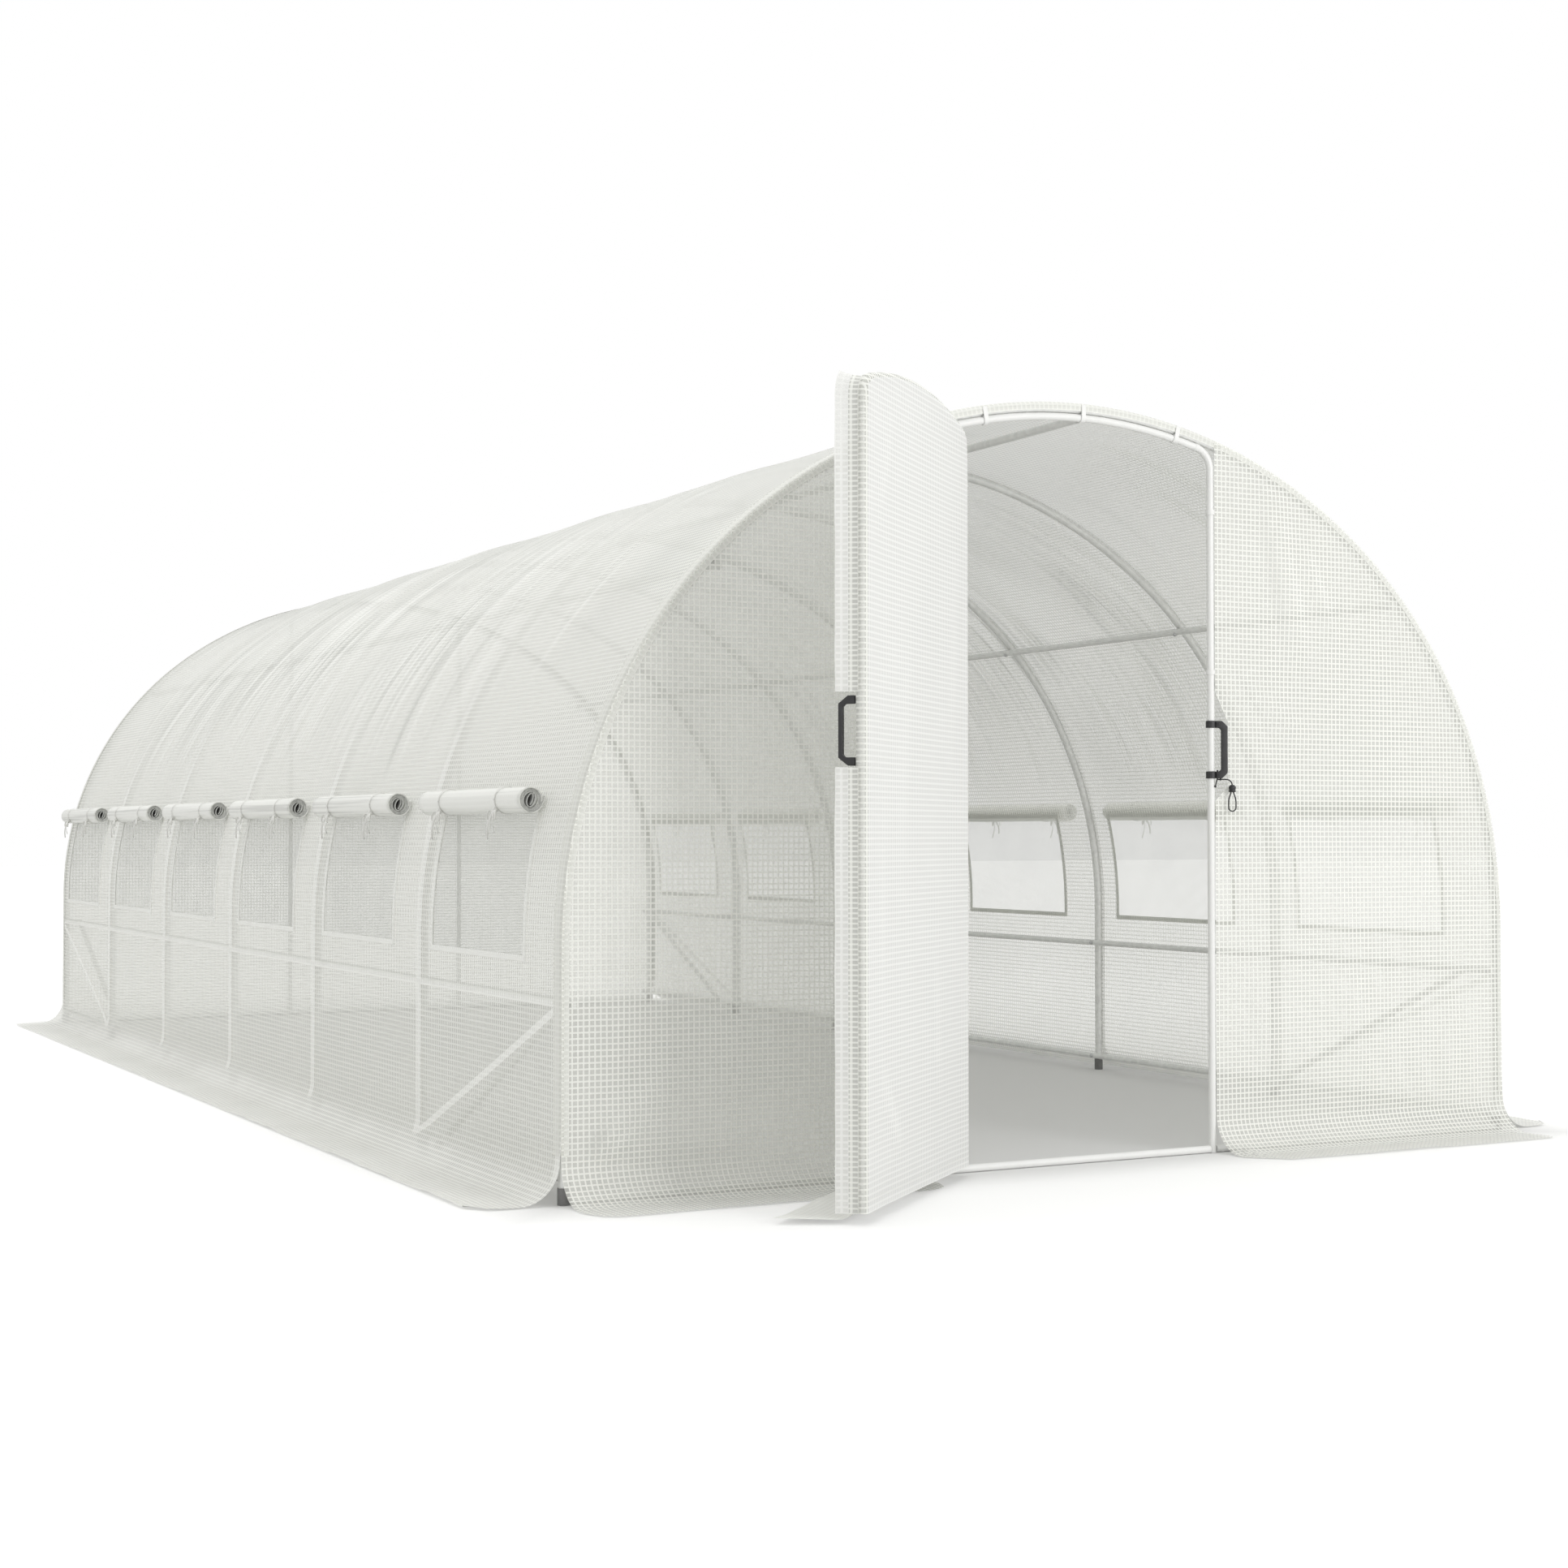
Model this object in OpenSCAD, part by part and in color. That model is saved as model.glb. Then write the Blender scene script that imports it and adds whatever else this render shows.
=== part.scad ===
// Walk-in polytunnel greenhouse: arched tube hoops, rails and purlins under a
// film cover, with rolled-up window flaps along both sides and one hinged film
// door. Millimetres, +Z up. The origin is on the ground at the middle of the
// doorway. The tunnel runs back along +Y and +X is to the right seen from the
// front.

/* [Tunnel] */
// overall width across the film
tunnel_width = 3000; // [2600:50:3600]
// overall length along the film
tunnel_length = 6000; // [4000:100:9000]
// height of the straight legs below the arch
leg_height = 600; // [480:10:760]
// distance between the centres of the crown arc and of a shoulder arc
crown_shift = 200; // [120:10:300]

/* [Frame tubes] */
// diameter of the hoop tube
hoop_tube = 25; // [19:1:32]
// diameter of the rails, sill and braces
rail_tube = 20; // [16:1:25]
// diameter of the ridge and shoulder purlins
purlin_tube = 22; // [16:1:26]
// angle of the shoulder purlins up the shoulder arc
purlin_turn = 44; // [35:1:50]
// diameter of the tube round the doorway
surround_tube = 20; // [16:1:25]
// height of the waist rail
waist_height = 470; // [380:5:520]
// height of the black cap on each hoop foot
foot_height = 40; // [25:1:60]
// wall of the foot cap
foot_wall = 2.2; // [1.5:0.1:4]

/* [Film] */
// thickness of the film in this model
film = 3; // [2.5:0.1:4]
// height of the seam between side wall and roof
seam_height = 1060; // [1030:5:1200]
// radius of the flare at the foot of each wall
skirt_radius = 100; // [60:5:140]
// width of the flat part of the skirt on the ground
skirt_flat = 115; // [60:5:200]

/* [Windows] */
// width of a window along the tunnel
window_width = 650; // [400:10:680]
// height of the lower edge of a window
window_low = 575; // [545:5:650]
// height of the upper edge of a window
window_high = 935; // [850:5:945]
// shift of the windows from the middle of the bay
window_shift = 60; // [0:5:60]
// lap of the mesh screen behind the film
screen_lap = 15; // [8:1:25]
// diameter of a rolled-up window flap
roll_diameter = 60; // [40:1:75]
// length of a rolled-up window flap
roll_length = 735; // [500:5:760]
// height of the middle of the rolls
roll_height = 955; // [900:5:970]
// width of a tie band round a roll
tie_width = 12; // [6:1:25]
// distance between the two ties of a roll
tie_spacing = 410; // [200:5:480]

/* [Doorway] */
// width between the middle lines of the jambs
doorway_width = 860; // [760:5:1000]
// bend radius of the upper corners
corner_radius = 62; // [50:1:90]
// height of the lower clip on a jamb
clip_low = 1316; // [1270:5:1400]
// height of the upper clip on a jamb
clip_high = 1756; // [1720:5:1790]
// width of a clip
clip_width = 13; // [8:1:25]

/* [Door] */
// angle the door stands open
door_open = 139; // [100:1:142]
// gap between the leaf and the jambs
leaf_gap = 14; // [12:1:20]
// thickness of the wrapped leaf
leaf_thick = 30; // [29:1:36]
// height of the leaf above the ground
leaf_lift = 26; // [26:1:40]
// width of the upright flap on the free edge
flap_width = 44; // [20:1:50]
// width of the flat part of the door skirt
door_skirt_flat = 138; // [60:1:145]
// height of each hinge from the ground, lower, middle and upper
hinge_heights = [250, 950, 1600];

/* [Handles] */
// middle height of both handles
handle_middle = 1103; // [1050:1:1150]
// height of a handle
handle_height = 158; // [120:1:170]
// reach of a handle from its tube or face
handle_reach = 42; // [34:1:50]
// width of a handle across its grip
handle_width = 16; // [10:1:20]
// turn of the jamb handle away from the wall
jamb_handle_turn = 30; // [20:1:60]
// diameter of the closing cord
cord = 3.6; // [3:0.1:3.9]

/* [Hidden] */
$fn = 64;
gap = 0.5;
bays = 6;
big = 4 * tunnel_width;
half_width = tunnel_width / 2;
// the shoulder arcs meet the crown arc on the slope of a 3, 4, 5 triangle
split = acos(0.6);
shoulder_inset = 0.6 * crown_shift;
shoulder_radius = half_width - shoulder_inset;
crown_radius = shoulder_radius + crown_shift;
crown_z = leg_height - 0.8 * crown_shift;
tunnel_height = crown_z + crown_radius;

hoop_in = film + gap + hoop_tube / 2;
hoop_y = film + gap + hoop_tube / 2;
hoop_step = (tunnel_length - 2 * hoop_y) / bays;
rail_in = film + gap + hoop_tube + gap + rail_tube / 2;
brace_in = rail_in + rail_tube + gap;
purlin_in = film + gap + hoop_tube + gap + purlin_tube / 2;
base_z = foot_height + 2 + rail_tube / 2;
foot_radius = hoop_tube / 2 + 0.2 + foot_wall;

skirt_z = skirt_radius + film;
cover_start = film + gap;
cover_run = tunnel_length - 2 * (film + gap);

roll_off = roll_diameter / 2 + 2.9;
roll_angle = asin((roll_height - leg_height) / (shoulder_radius + roll_off));
roll_x = shoulder_inset + (shoulder_radius + roll_off) * cos(roll_angle);

surround_in = film + gap + hoop_tube + 1 + surround_tube / 2;
surround_y = film + gap + surround_tube / 2;
jamb_x = doorway_width / 2;
film_edge = jamb_x + 6;
surround_r = crown_radius - surround_in;
surround_turn_z = crown_z + sqrt(pow(surround_r - corner_radius, 2) - pow(jamb_x - corner_radius, 2));
surround_turn = atan2(surround_turn_z - crown_z, jamb_x - corner_radius);
clip_radius = surround_tube / 2 + 3;
clip_turn = 11.5;

leaf_half = jamb_x - surround_tube / 2 - leaf_gap;
leaf_in = surround_in + surround_tube / 2 + leaf_gap + 1;
leaf_r = crown_radius - leaf_in;
leaf_turn_z = crown_z + sqrt(pow(leaf_r - corner_radius, 2) - pow(leaf_half - corner_radius, 2));
leaf_turn = atan2(leaf_turn_z - crown_z, leaf_half - corner_radius);
leaf_front = 2;
leaf_tube = leaf_thick - 2 * film - 2;
leaf_tube_in = film + 1 + leaf_tube / 2;
leaf_mid = leaf_front + leaf_thick / 2;
pin_x = -(jamb_x - surround_tube / 2 - leaf_gap / 2);
pin_y = leaf_front - 11;
pin_radius = 3;
knuckle_radius = 5;
knuckle = 20;
door_skirt_radius = 30;
door_skirt_z = 10;
hinge_cut = 115;

grip = 17;
arm = 19;
nick = 15;
jamb_handle_x = jamb_x;
toggle_radius = 10;
toggle_height = 20;
// cord round the lower arm of the jamb handle, from its free end to the toggle:
// reach from the jamb, across, and height from the lower face of the arm
cord_route = [[11, -7, -22], [13, -8, -12], [15, -10.2, -4], [17, -10.4, 2], [17, -10.4, 10],
    [17.3, -10.4, 17], [17.6, -9.6, 21.2], [18, -4, 21.6], [18, 4, 21.6], [18.4, 9.6, 21.2], [18.7, 10.4, 17],
    [19, 10.4, 10], [19, 10.4, 2], [19.5, 9.6, -2.2], [22, 4, -2.6], [27, 0, -2.6], [36, 0, -2.6], [46, 0, -3],
    [54, 0, -8], [58, 0, -17]];
loop_route = [[55, 0, -39], [51, 0, -48], [48.5, 0, -60], [48.5, 0, -74], [51, 0, -86], [58, 0, -93],
    [65, 0, -86], [67.5, 0, -74], [67.5, 0, -60], [65, 0, -48], [61, 0, -39]];

// a wedge between two angles round a point
module wedge(x, z, first, last) {
    polygon([[x, z], [x + big * cos(first), z + big * sin(first)], [x + big * cos(last), z + big * sin(last)]]);
}

module mirrored(side) {
    if (side > 0)
        children();
    else
        mirror([1, 0, 0])
            children();
}

// area under the arch, set in from the outer film by a distance
module arch_area(inset) {
    reach = half_width - inset;
    union() {
        polygon([[-reach, 0], [reach, 0], [reach, leg_height], [shoulder_inset, leg_height], [0, crown_z],
            [-shoulder_inset, leg_height], [-reach, leg_height]]);
        for (side = [-1, 1])
            mirrored(side)
                intersection() {
                    translate([shoulder_inset, leg_height])
                        circle(shoulder_radius - inset, $fn = 128);
                    wedge(shoulder_inset, leg_height, 0, split);
                }
        intersection() {
            translate([0, crown_z])
                circle(crown_radius - inset, $fn = 128);
            wedge(0, crown_z, split, 180 - split);
        }
    }
}

// a ring between two depths from the outer film
module ring_area(radius, outer, inner) {
    difference() {
        circle(radius - outer, $fn = 128);
        circle(radius - inner, $fn = 128);
    }
}

// a layer of the arch between two depths from the outer film
module arch_band(outer, inner) {
    union() {
        for (side = [-1, 1])
            mirrored(side) {
                translate([half_width - inner, 0])
                    square([inner - outer, leg_height]);
                intersection() {
                    translate([shoulder_inset, leg_height])
                        ring_area(shoulder_radius, outer, inner);
                    wedge(shoulder_inset, leg_height, 0, split);
                }
            }
        intersection() {
            translate([0, crown_z])
                ring_area(crown_radius, outer, inner);
            wedge(0, crown_z, split, 180 - split);
        }
    }
}

// stands a drawing in the XZ plane and runs it back along Y
module along_y(start, run) {
    translate([0, start + run, 0])
        rotate([90, 0, 0])
            linear_extrude(run)
                children();
}

// lays a drawing in the YZ plane and runs it along X
module along_x(start, run) {
    translate([start, 0, 0])
        rotate([90, 0, 90])
            linear_extrude(run)
                children();
}

module rod_y(x, z, start, run, size) {
    translate([x, start, z])
        rotate([-90, 0, 0])
            cylinder(d = size, h = run);
}

module rod_x(start, run, y, z, size) {
    translate([start, y, z])
        rotate([0, 90, 0])
            cylinder(d = size, h = run);
}

// a bent piece of tube in the XZ plane
module bend(x, z, radius, size, first, turn) {
    translate([x, 0, z])
        rotate([90, 0, 0])
            rotate([0, 0, first])
                rotate_extrude(angle = turn, $fn = 128)
                    translate([radius, 0])
                        circle(d = size);
}

// a short collar that joins two bends of one tube at an angle round a centre
module collar(x, z, radius, size, turn, length) {
    translate([x + radius * cos(turn), 0, z + radius * sin(turn)])
        rotate([0, -turn, 0])
            cylinder(d = size, h = length, center = true);
}

module hoop(place) {
    color("gainsboro")
        translate([0, hoop_y + place * hoop_step, 0])
            union() {
                bend(0, crown_z, crown_radius - hoop_in, hoop_tube, split, 180 - 2 * split);
                for (side = [-1, 1])
                    mirrored(side) {
                        bend(shoulder_inset, leg_height, shoulder_radius - hoop_in, hoop_tube, 0, split);
                        collar(0, crown_z, crown_radius - hoop_in, hoop_tube + 0.6, split, 12);
                        translate([half_width - hoop_in, 0, foot_wall + gap])
                            cylinder(d = hoop_tube, h = leg_height - foot_wall - gap);
                    }
            }
}

module front_hoop() { hoop(0); }

module hoop_2() { hoop(1); }

module hoop_3() { hoop(2); }

module hoop_4() { hoop(3); }

module hoop_5() { hoop(4); }

module hoop_6() { hoop(5); }

module rear_hoop() { hoop(bays); }

module hoop_feet() {
    color("dimgray")
        for (side = [-1, 1], place = [0 : bays])
            translate([side * (half_width - hoop_in), hoop_y + place * hoop_step, 0])
                difference() {
                    cylinder(r = foot_radius, h = foot_height);
                    translate([0, 0, foot_wall])
                        cylinder(d = hoop_tube + 0.4, h = foot_height);
                }
}

module ridge_purlin() {
    z = tunnel_height - purlin_in;
    start = surround_y + surround_tube / 2 + 2;
    color("silver")
        difference() {
            rod_y(0, z, start, tunnel_length - start - film - gap, purlin_tube);
            rod_y(0, z, start - 1, 61, purlin_tube - 3);
        }
}

module shoulder_purlin(side) {
    reach = shoulder_radius - purlin_in;
    color("silver")
        rod_y(side * (shoulder_inset + reach * cos(purlin_turn)), leg_height + reach * sin(purlin_turn),
            cover_start, cover_run, purlin_tube);
}

module left_shoulder_purlin() { shoulder_purlin(-1); }

module right_shoulder_purlin() { shoulder_purlin(1); }

module waist_rail(side) {
    color("gainsboro")
        rod_y(side * (half_width - rail_in), waist_height, cover_start, cover_run, rail_tube);
}

module left_waist_rail() { waist_rail(-1); }

module right_waist_rail() { waist_rail(1); }

module base_rail(side) {
    color("gainsboro")
        rod_y(side * (half_width - rail_in), base_z, cover_start, cover_run, rail_tube);
}

module left_base_rail() { base_rail(-1); }

module right_base_rail() { base_rail(1); }

module front_base_rails() {
    start = jamb_x + surround_tube / 2 + gap;
    color("gainsboro")
        for (side = [-1, 1])
            mirrored(side)
                rod_x(start, half_width - hoop_in - foot_radius - 1 - start, surround_y, rail_tube / 2, rail_tube);
}

module door_sill() {
    reach = jamb_x - surround_tube / 2 - gap;
    color("whitesmoke")
        rod_x(-reach, 2 * reach, surround_y, rail_tube / 2, rail_tube);
}

module rear_base_rail() {
    reach = half_width - hoop_in - foot_radius - 1;
    color("gainsboro")
        rod_x(-reach, 2 * reach, tunnel_length - film - gap - rail_tube / 2, rail_tube / 2, rail_tube);
}

// one brace in the side frame, from a hoop foot up to the waist rail at the end hoop
module brace(low_y, high_y) {
    low_z = rail_tube;
    high_z = waist_height;
    run = high_y - low_y;
    rise = high_z - low_z;
    translate([half_width - brace_in, low_y, low_z])
        rotate([atan2(-run, rise), 0, 0])
            cylinder(d = rail_tube, h = sqrt(run * run + rise * rise));
}

module corner_braces() {
    inset = 80;
    color("gainsboro")
        for (side = [-1, 1])
            mirrored(side) {
                brace(hoop_y + hoop_step, hoop_y + inset);
                brace(tunnel_length - hoop_y - hoop_step, tunnel_length - hoop_y - inset);
            }
}

module door_surround() {
    color("white")
        translate([0, surround_y, 0])
            union() {
                bend(0, crown_z, surround_r, surround_tube, surround_turn, 180 - 2 * surround_turn);
                for (side = [-1, 1])
                    mirrored(side) {
                        bend(jamb_x - corner_radius, surround_turn_z, corner_radius, surround_tube, 0, surround_turn);
                        collar(0, crown_z, surround_r, surround_tube + 1.6, surround_turn, 14);
                        translate([jamb_x, 0, 0])
                            cylinder(d = surround_tube, h = surround_turn_z);
                    }
            }
}

// a ring that grips a jamb, slit where the film edge enters it
module jamb_ring(z, height) {
    translate([jamb_x, surround_y, z])
        difference() {
            cylinder(r = clip_radius, h = height);
            translate([0, 0, -1])
                cylinder(d = surround_tube + 0.6, h = height + 2);
            translate([film_edge - jamb_x - gap, -surround_y - 20, -1])
                cube([20, 20 + film + gap, height + 2]);
        }
}

module surround_clips() {
    color("white") {
        for (side = [-1, 1], z = [clip_low, clip_high])
            mirrored(side)
                jamb_ring(z - clip_width / 2, clip_width);
        for (turn = [-clip_turn, 0, clip_turn])
            translate([0, surround_y, crown_z])
                rotate([0, turn, 0])
                    translate([0, 0, surround_r])
                        rotate([0, 90, 0])
                            union() {
                                difference() {
                                    cylinder(r = clip_radius, h = clip_width, center = true);
                                    cylinder(d = surround_tube + 0.6, h = clip_width + 2, center = true);
                                    translate([-30 - surround_tube / 2 - 0.6, 0, 0])
                                        cube([60, 60, 60], center = true);
                                }
                                translate([-surround_tube / 2 - 24, -surround_y + 0.4, -clip_width / 2])
                                    cube([surround_tube / 2 + 24, 2.5, clip_width]);
                            }
    }
}

module rear_posts() {
    top = crown_z + sqrt(pow(crown_radius - hoop_in - hoop_tube / 2 - 3, 2) - pow(jamb_x + rail_tube / 2, 2));
    color("gainsboro")
        for (side = [-1, 1])
            translate([side * jamb_x, tunnel_length - film - gap - rail_tube / 2, rail_tube + gap])
                cylinder(d = rail_tube, h = top - rail_tube - gap - 2);
}

// drawing of a flared skirt: wall foot at the origin, flat towards minus X
module skirt_area(radius, flat, low) {
    translate([-radius, radius + film + low])
        intersection() {
            difference() {
                circle(radius + film);
                circle(radius);
            }
            translate([0, -2 * radius])
                square(2 * radius);
        }
    translate([-radius - flat, low])
        square([flat, film]);
}

module window_places() {
    for (place = [0 : bays - 1])
        translate([0, hoop_y + (place + 0.5) * hoop_step + window_shift, 0])
            children();
}

module wall_cover(side) {
    color("white", 0.6)
        mirrored(-side)
            difference() {
                along_y(cover_start, cover_run) {
                    intersection() {
                        arch_band(0, film);
                        translate([-half_width - 1, skirt_z])
                            square([half_width, seam_height - skirt_z]);
                    }
                    translate([-half_width, 0])
                        skirt_area(skirt_radius, skirt_flat, 0);
                }
                window_places()
                    translate([-half_width - 10, -window_width / 2, window_low])
                        cube([half_width / 2, window_width, window_high - window_low]);
            }
}

module left_wall_cover() { wall_cover(-1); }

module right_wall_cover() { wall_cover(1); }

module roof_cover() {
    color("white", 0.6)
        along_y(cover_start, cover_run)
            intersection() {
                arch_band(0, film);
                translate([-big, seam_height + gap])
                    square([2 * big, big]);
            }
}

// half of the front wall, drawn on the right
module front_wall_half(notched) {
    difference() {
        along_y(0, film)
            intersection() {
                arch_area(0);
                translate([film_edge, skirt_z])
                    square([big, big]);
            }
        if (notched)
            along_y(-1, film + 2)
                polygon([[film_edge - 5, handle_middle + 166], [film_edge, handle_middle + 158],
                    [film_edge + 44, handle_middle + 74], [film_edge + 44, handle_middle - 100],
                    [film_edge, handle_middle - 140], [film_edge - 5, handle_middle - 148]]);
    }
}

module front_right_wall() {
    color("white", 0.6)
        union() {
            front_wall_half(true);
            along_x(film_edge, half_width - film_edge)
                skirt_area(skirt_radius, skirt_flat, 0);
        }
}

module front_left_wall() {
    edge = pin_x - hinge_cut;
    color("white", 0.6)
        union() {
            mirrored(-1)
                front_wall_half(false);
            difference() {
                along_x(-half_width, half_width - film_edge)
                    skirt_area(skirt_radius, skirt_flat, 0);
                translate([pin_x, pin_y, -1])
                    cylinder(r = hinge_cut, h = skirt_z + 2);
            }
            translate([edge, 0, 5])
                cube([-film_edge - edge, film, skirt_z - 5]);
        }
}

module rear_wall() {
    color("white", 0.6)
        union() {
            along_y(tunnel_length - film, film)
                intersection() {
                    arch_area(0);
                    translate([-big, skirt_z])
                        square([2 * big, big]);
                }
            translate([0, tunnel_length, 0])
                mirror([0, 1, 0])
                    along_x(-half_width, 2 * half_width)
                        skirt_area(skirt_radius, skirt_flat, 0);
        }
}

module window_screens(side) {
    color("dimgray", 0.7)
        mirrored(-side)
            window_places()
                intersection() {
                    along_y(-window_width / 2 - screen_lap, window_width + 2 * screen_lap)
                        arch_band(film + gap, 2 * film + gap);
                    translate([-half_width - 10, -window_width, window_low - screen_lap])
                        cube([half_width / 2, 2 * window_width, window_high - window_low + 2 * screen_lap]);
                }
}

module left_window_screens() { window_screens(-1); }

module right_window_screens() { window_screens(1); }

module window_rolls(side) {
    color("whitesmoke")
        mirrored(side)
            window_places()
                rod_y(roll_x, roll_height, -roll_length / 2, roll_length, roll_diameter);
}

module left_window_rolls() { window_rolls(-1); }

module right_window_rolls() { window_rolls(1); }

module roll_ties(side) {
    color("white")
        mirrored(side)
            window_places()
                for (end = [-1, 1])
                    translate([roll_x, end * tie_spacing / 2, roll_height])
                        rotate([90, 0, 0])
                            difference() {
                                union() {
                                    cylinder(r = roll_diameter / 2 + 2.6, h = tie_width, center = true);
                                    translate([roll_diameter / 2 + 1, -11, 0])
                                        cube([8, 10, 10], center = true);
                                }
                                cylinder(r = roll_diameter / 2 + 0.6, h = 2 * tie_width, center = true);
                            }
}

module left_roll_ties() { roll_ties(-1); }

module right_roll_ties() { roll_ties(1); }

// fixed half of each hinge: jamb ring, strap, knuckle and pin
module jamb_hinges() {
    run = jamb_x + pin_x;
    reach = surround_y - pin_y;
    color("gray")
        for (z = hinge_heights)
            union() {
                mirrored(-1)
                    jamb_ring(z, knuckle);
                difference() {
                    translate([pin_x, pin_y, z])
                        rotate([0, 0, atan2(reach, -run)])
                            translate([0, -4, 0])
                                cube([sqrt(run * run + reach * reach) - surround_tube / 2 - 1, 8, knuckle]);
                    translate([pin_x, pin_y, z - 1])
                        cylinder(r = pin_radius, h = knuckle + 2);
                }
                translate([pin_x, pin_y, z])
                    cylinder(r = knuckle_radius, h = knuckle);
                translate([pin_x, pin_y, z])
                    cylinder(r = pin_radius, h = 2 * knuckle + 2);
            }
}

// side drawing of a handle: X is its reach and Y is up
module handle_area(reach) {
    top = handle_height / 2;
    difference() {
        polygon([[0, top], [reach - nick, top], [reach, top - nick], [reach, nick - top], [reach - nick, -top],
            [0, -top]]);
        polygon([[-1, top - arm], [reach - grip - 6, top - arm], [reach - grip, top - arm - 6],
            [reach - grip, arm + 6 - top], [reach - grip - 6, arm - top], [-1, arm - top]]);
    }
}

module jamb_handle() {
    bite = surround_tube / 2 + 3.5;
    color("black")
        translate([jamb_handle_x, surround_y, handle_middle])
            rotate([0, 0, -jamb_handle_turn])
                difference() {
                    union() {
                        rotate([90, 0, 0])
                            linear_extrude(handle_width, center = true)
                                handle_area(handle_reach + 3);
                        for (end = [-1, 1])
                            translate([0, 0, end * (handle_height - arm) / 2])
                                cylinder(r = bite, h = arm, center = true);
                    }
                    cylinder(d = surround_tube + 0.4, h = 2 * handle_height, center = true);
                }
}

// tools for a round cord swept along points
function unit(v) = v / norm(v);
function along(p, i) = unit(p[min(i + 1, len(p) - 1)] - p[max(i - 1, 0)]);
function across(p, i) = i == 0 ? unit(cross(along(p, 0), [0.31, 0.87, 0.21])) :
    unit(across(p, i - 1) - (across(p, i - 1) * along(p, i)) * along(p, i));
function ring(p, i, radius, sides) = let (t = along(p, i), n = across(p, i), b = cross(t, n))
    [for (k = [0 : sides - 1]) p[i] + radius * (cos(360 * k / sides) * n + sin(360 * k / sides) * b)];

module swept(p, size) {
    sides = 8;
    last = len(p) - 1;
    points = [for (i = [0 : last]) each ring(p, i, size / 2, sides)];
    walls = [for (i = [0 : last - 1], k = [0 : sides - 1])
        let (a = i * sides + k, b = i * sides + (k + 1) % sides) each [[a, a + sides, b], [b, a + sides, b + sides]]];
    start = [[for (k = [0 : sides - 1]) k]];
    finish = [[for (k = [sides - 1 : -1 : 0]) last * sides + k]];
    polyhedron(points, concat(walls, start, finish));
}

module at_jamb_handle_arm() {
    translate([jamb_handle_x, surround_y, handle_middle - handle_height / 2])
        rotate([0, 0, -jamb_handle_turn])
            children();
}

module closing_cord() {
    color("black")
        at_jamb_handle_arm() {
            swept(cord_route, cord);
            swept(loop_route, cord);
        }
}

module cord_toggle() {
    color("black")
        at_jamb_handle_arm()
            translate([58, 0, -18 - toggle_height])
                cylinder(r = toggle_radius, h = toggle_height);
}

// turns the closed door to where it stands open
module door_pose() {
    translate([pin_x, pin_y, 0])
        rotate([0, 0, -door_open])
            translate([-pin_x, -pin_y, 0])
                children();
}

// outline of the leaf, set in by a distance
module leaf_area(inset, low) {
    translate([-(leaf_half - inset), low])
        square([2 * (leaf_half - inset), leaf_turn_z - low]);
    for (side = [-1, 1])
        translate([side * (leaf_half - corner_radius), leaf_turn_z])
            circle(corner_radius - inset);
    intersection() {
        translate([0, crown_z])
            circle(leaf_r - inset, $fn = 128);
        polygon([[0, crown_z], [big * cos(leaf_turn), crown_z + big * sin(leaf_turn)],
            [-big * cos(leaf_turn), crown_z + big * sin(leaf_turn)]]);
    }
}

module door_frame() {
    reach = leaf_half - leaf_tube_in;
    low = leaf_lift + 1;
    color("gainsboro")
        door_pose()
            translate([0, leaf_mid, 0])
                union() {
                    bend(0, crown_z, leaf_r - leaf_tube_in, leaf_tube, leaf_turn, 180 - 2 * leaf_turn);
                    for (side = [-1, 1])
                        mirrored(side) {
                            bend(leaf_half - corner_radius, leaf_turn_z, corner_radius - leaf_tube_in, leaf_tube, 0,
                                leaf_turn);
                            collar(0, crown_z, leaf_r - leaf_tube_in, leaf_tube + 0.8, leaf_turn, 10);
                            translate([reach, 0, low])
                                cylinder(d = leaf_tube, h = leaf_turn_z - low);
                        }
                    rod_x(-reach, 2 * reach, 0, low + leaf_tube / 2 + 2, leaf_tube - 2);
                }
}

module door_cover() {
    color("white", 0.6)
        door_pose()
            difference() {
                along_y(leaf_front, leaf_thick)
                    leaf_area(0, leaf_lift);
                along_y(leaf_front + film, leaf_thick - 2 * film)
                    leaf_area(film, leaf_lift - 10);
            }
}

module door_edge_flap() {
    top = leaf_turn_z - 5;
    low_part = handle_middle - handle_height / 2 - 4;
    high_part = handle_middle + handle_height / 2 + 8;
    color("white", 0.8)
        door_pose()
            for (span = [[leaf_lift, low_part], [high_part, top]])
                translate([leaf_half - film, -flap_width, span[0]])
                    cube([film, flap_width + 1.5, span[1] - span[0]]);
}

module door_skirt() {
    outer = door_skirt_radius + door_skirt_flat + 1.5;
    edge = leaf_half - film - 1;
    foot = door_skirt_z + film + door_skirt_radius;
    color("white", 0.8)
        door_pose()
            intersection() {
                union() {
                    along_x(-leaf_half, 3 * leaf_half)
                        translate([-1.5, 0])
                            skirt_area(door_skirt_radius, door_skirt_flat, door_skirt_z);
                    along_x(-leaf_half, 3 * leaf_half)
                        translate([-1.5, foot])
                            square([film, 45]);
                }
                linear_extrude(200)
                    polygon([[pin_x + 130, 5], [edge, 5], [edge, -door_skirt_radius],
                        [edge + 0.42 * door_skirt_flat, -outer - 1], [pin_x + 440, -outer - 1],
                        [pin_x + 130, -door_skirt_radius / 10]]);
            }
}

module door_handle() {
    color("black")
        door_pose()
            translate([leaf_half - leaf_tube_in, leaf_front - gap, handle_middle])
                rotate([0, 0, -90])
                    rotate([90, 0, 0])
                        linear_extrude(handle_width, center = true)
                            handle_area(handle_reach - 2);
}

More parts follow.
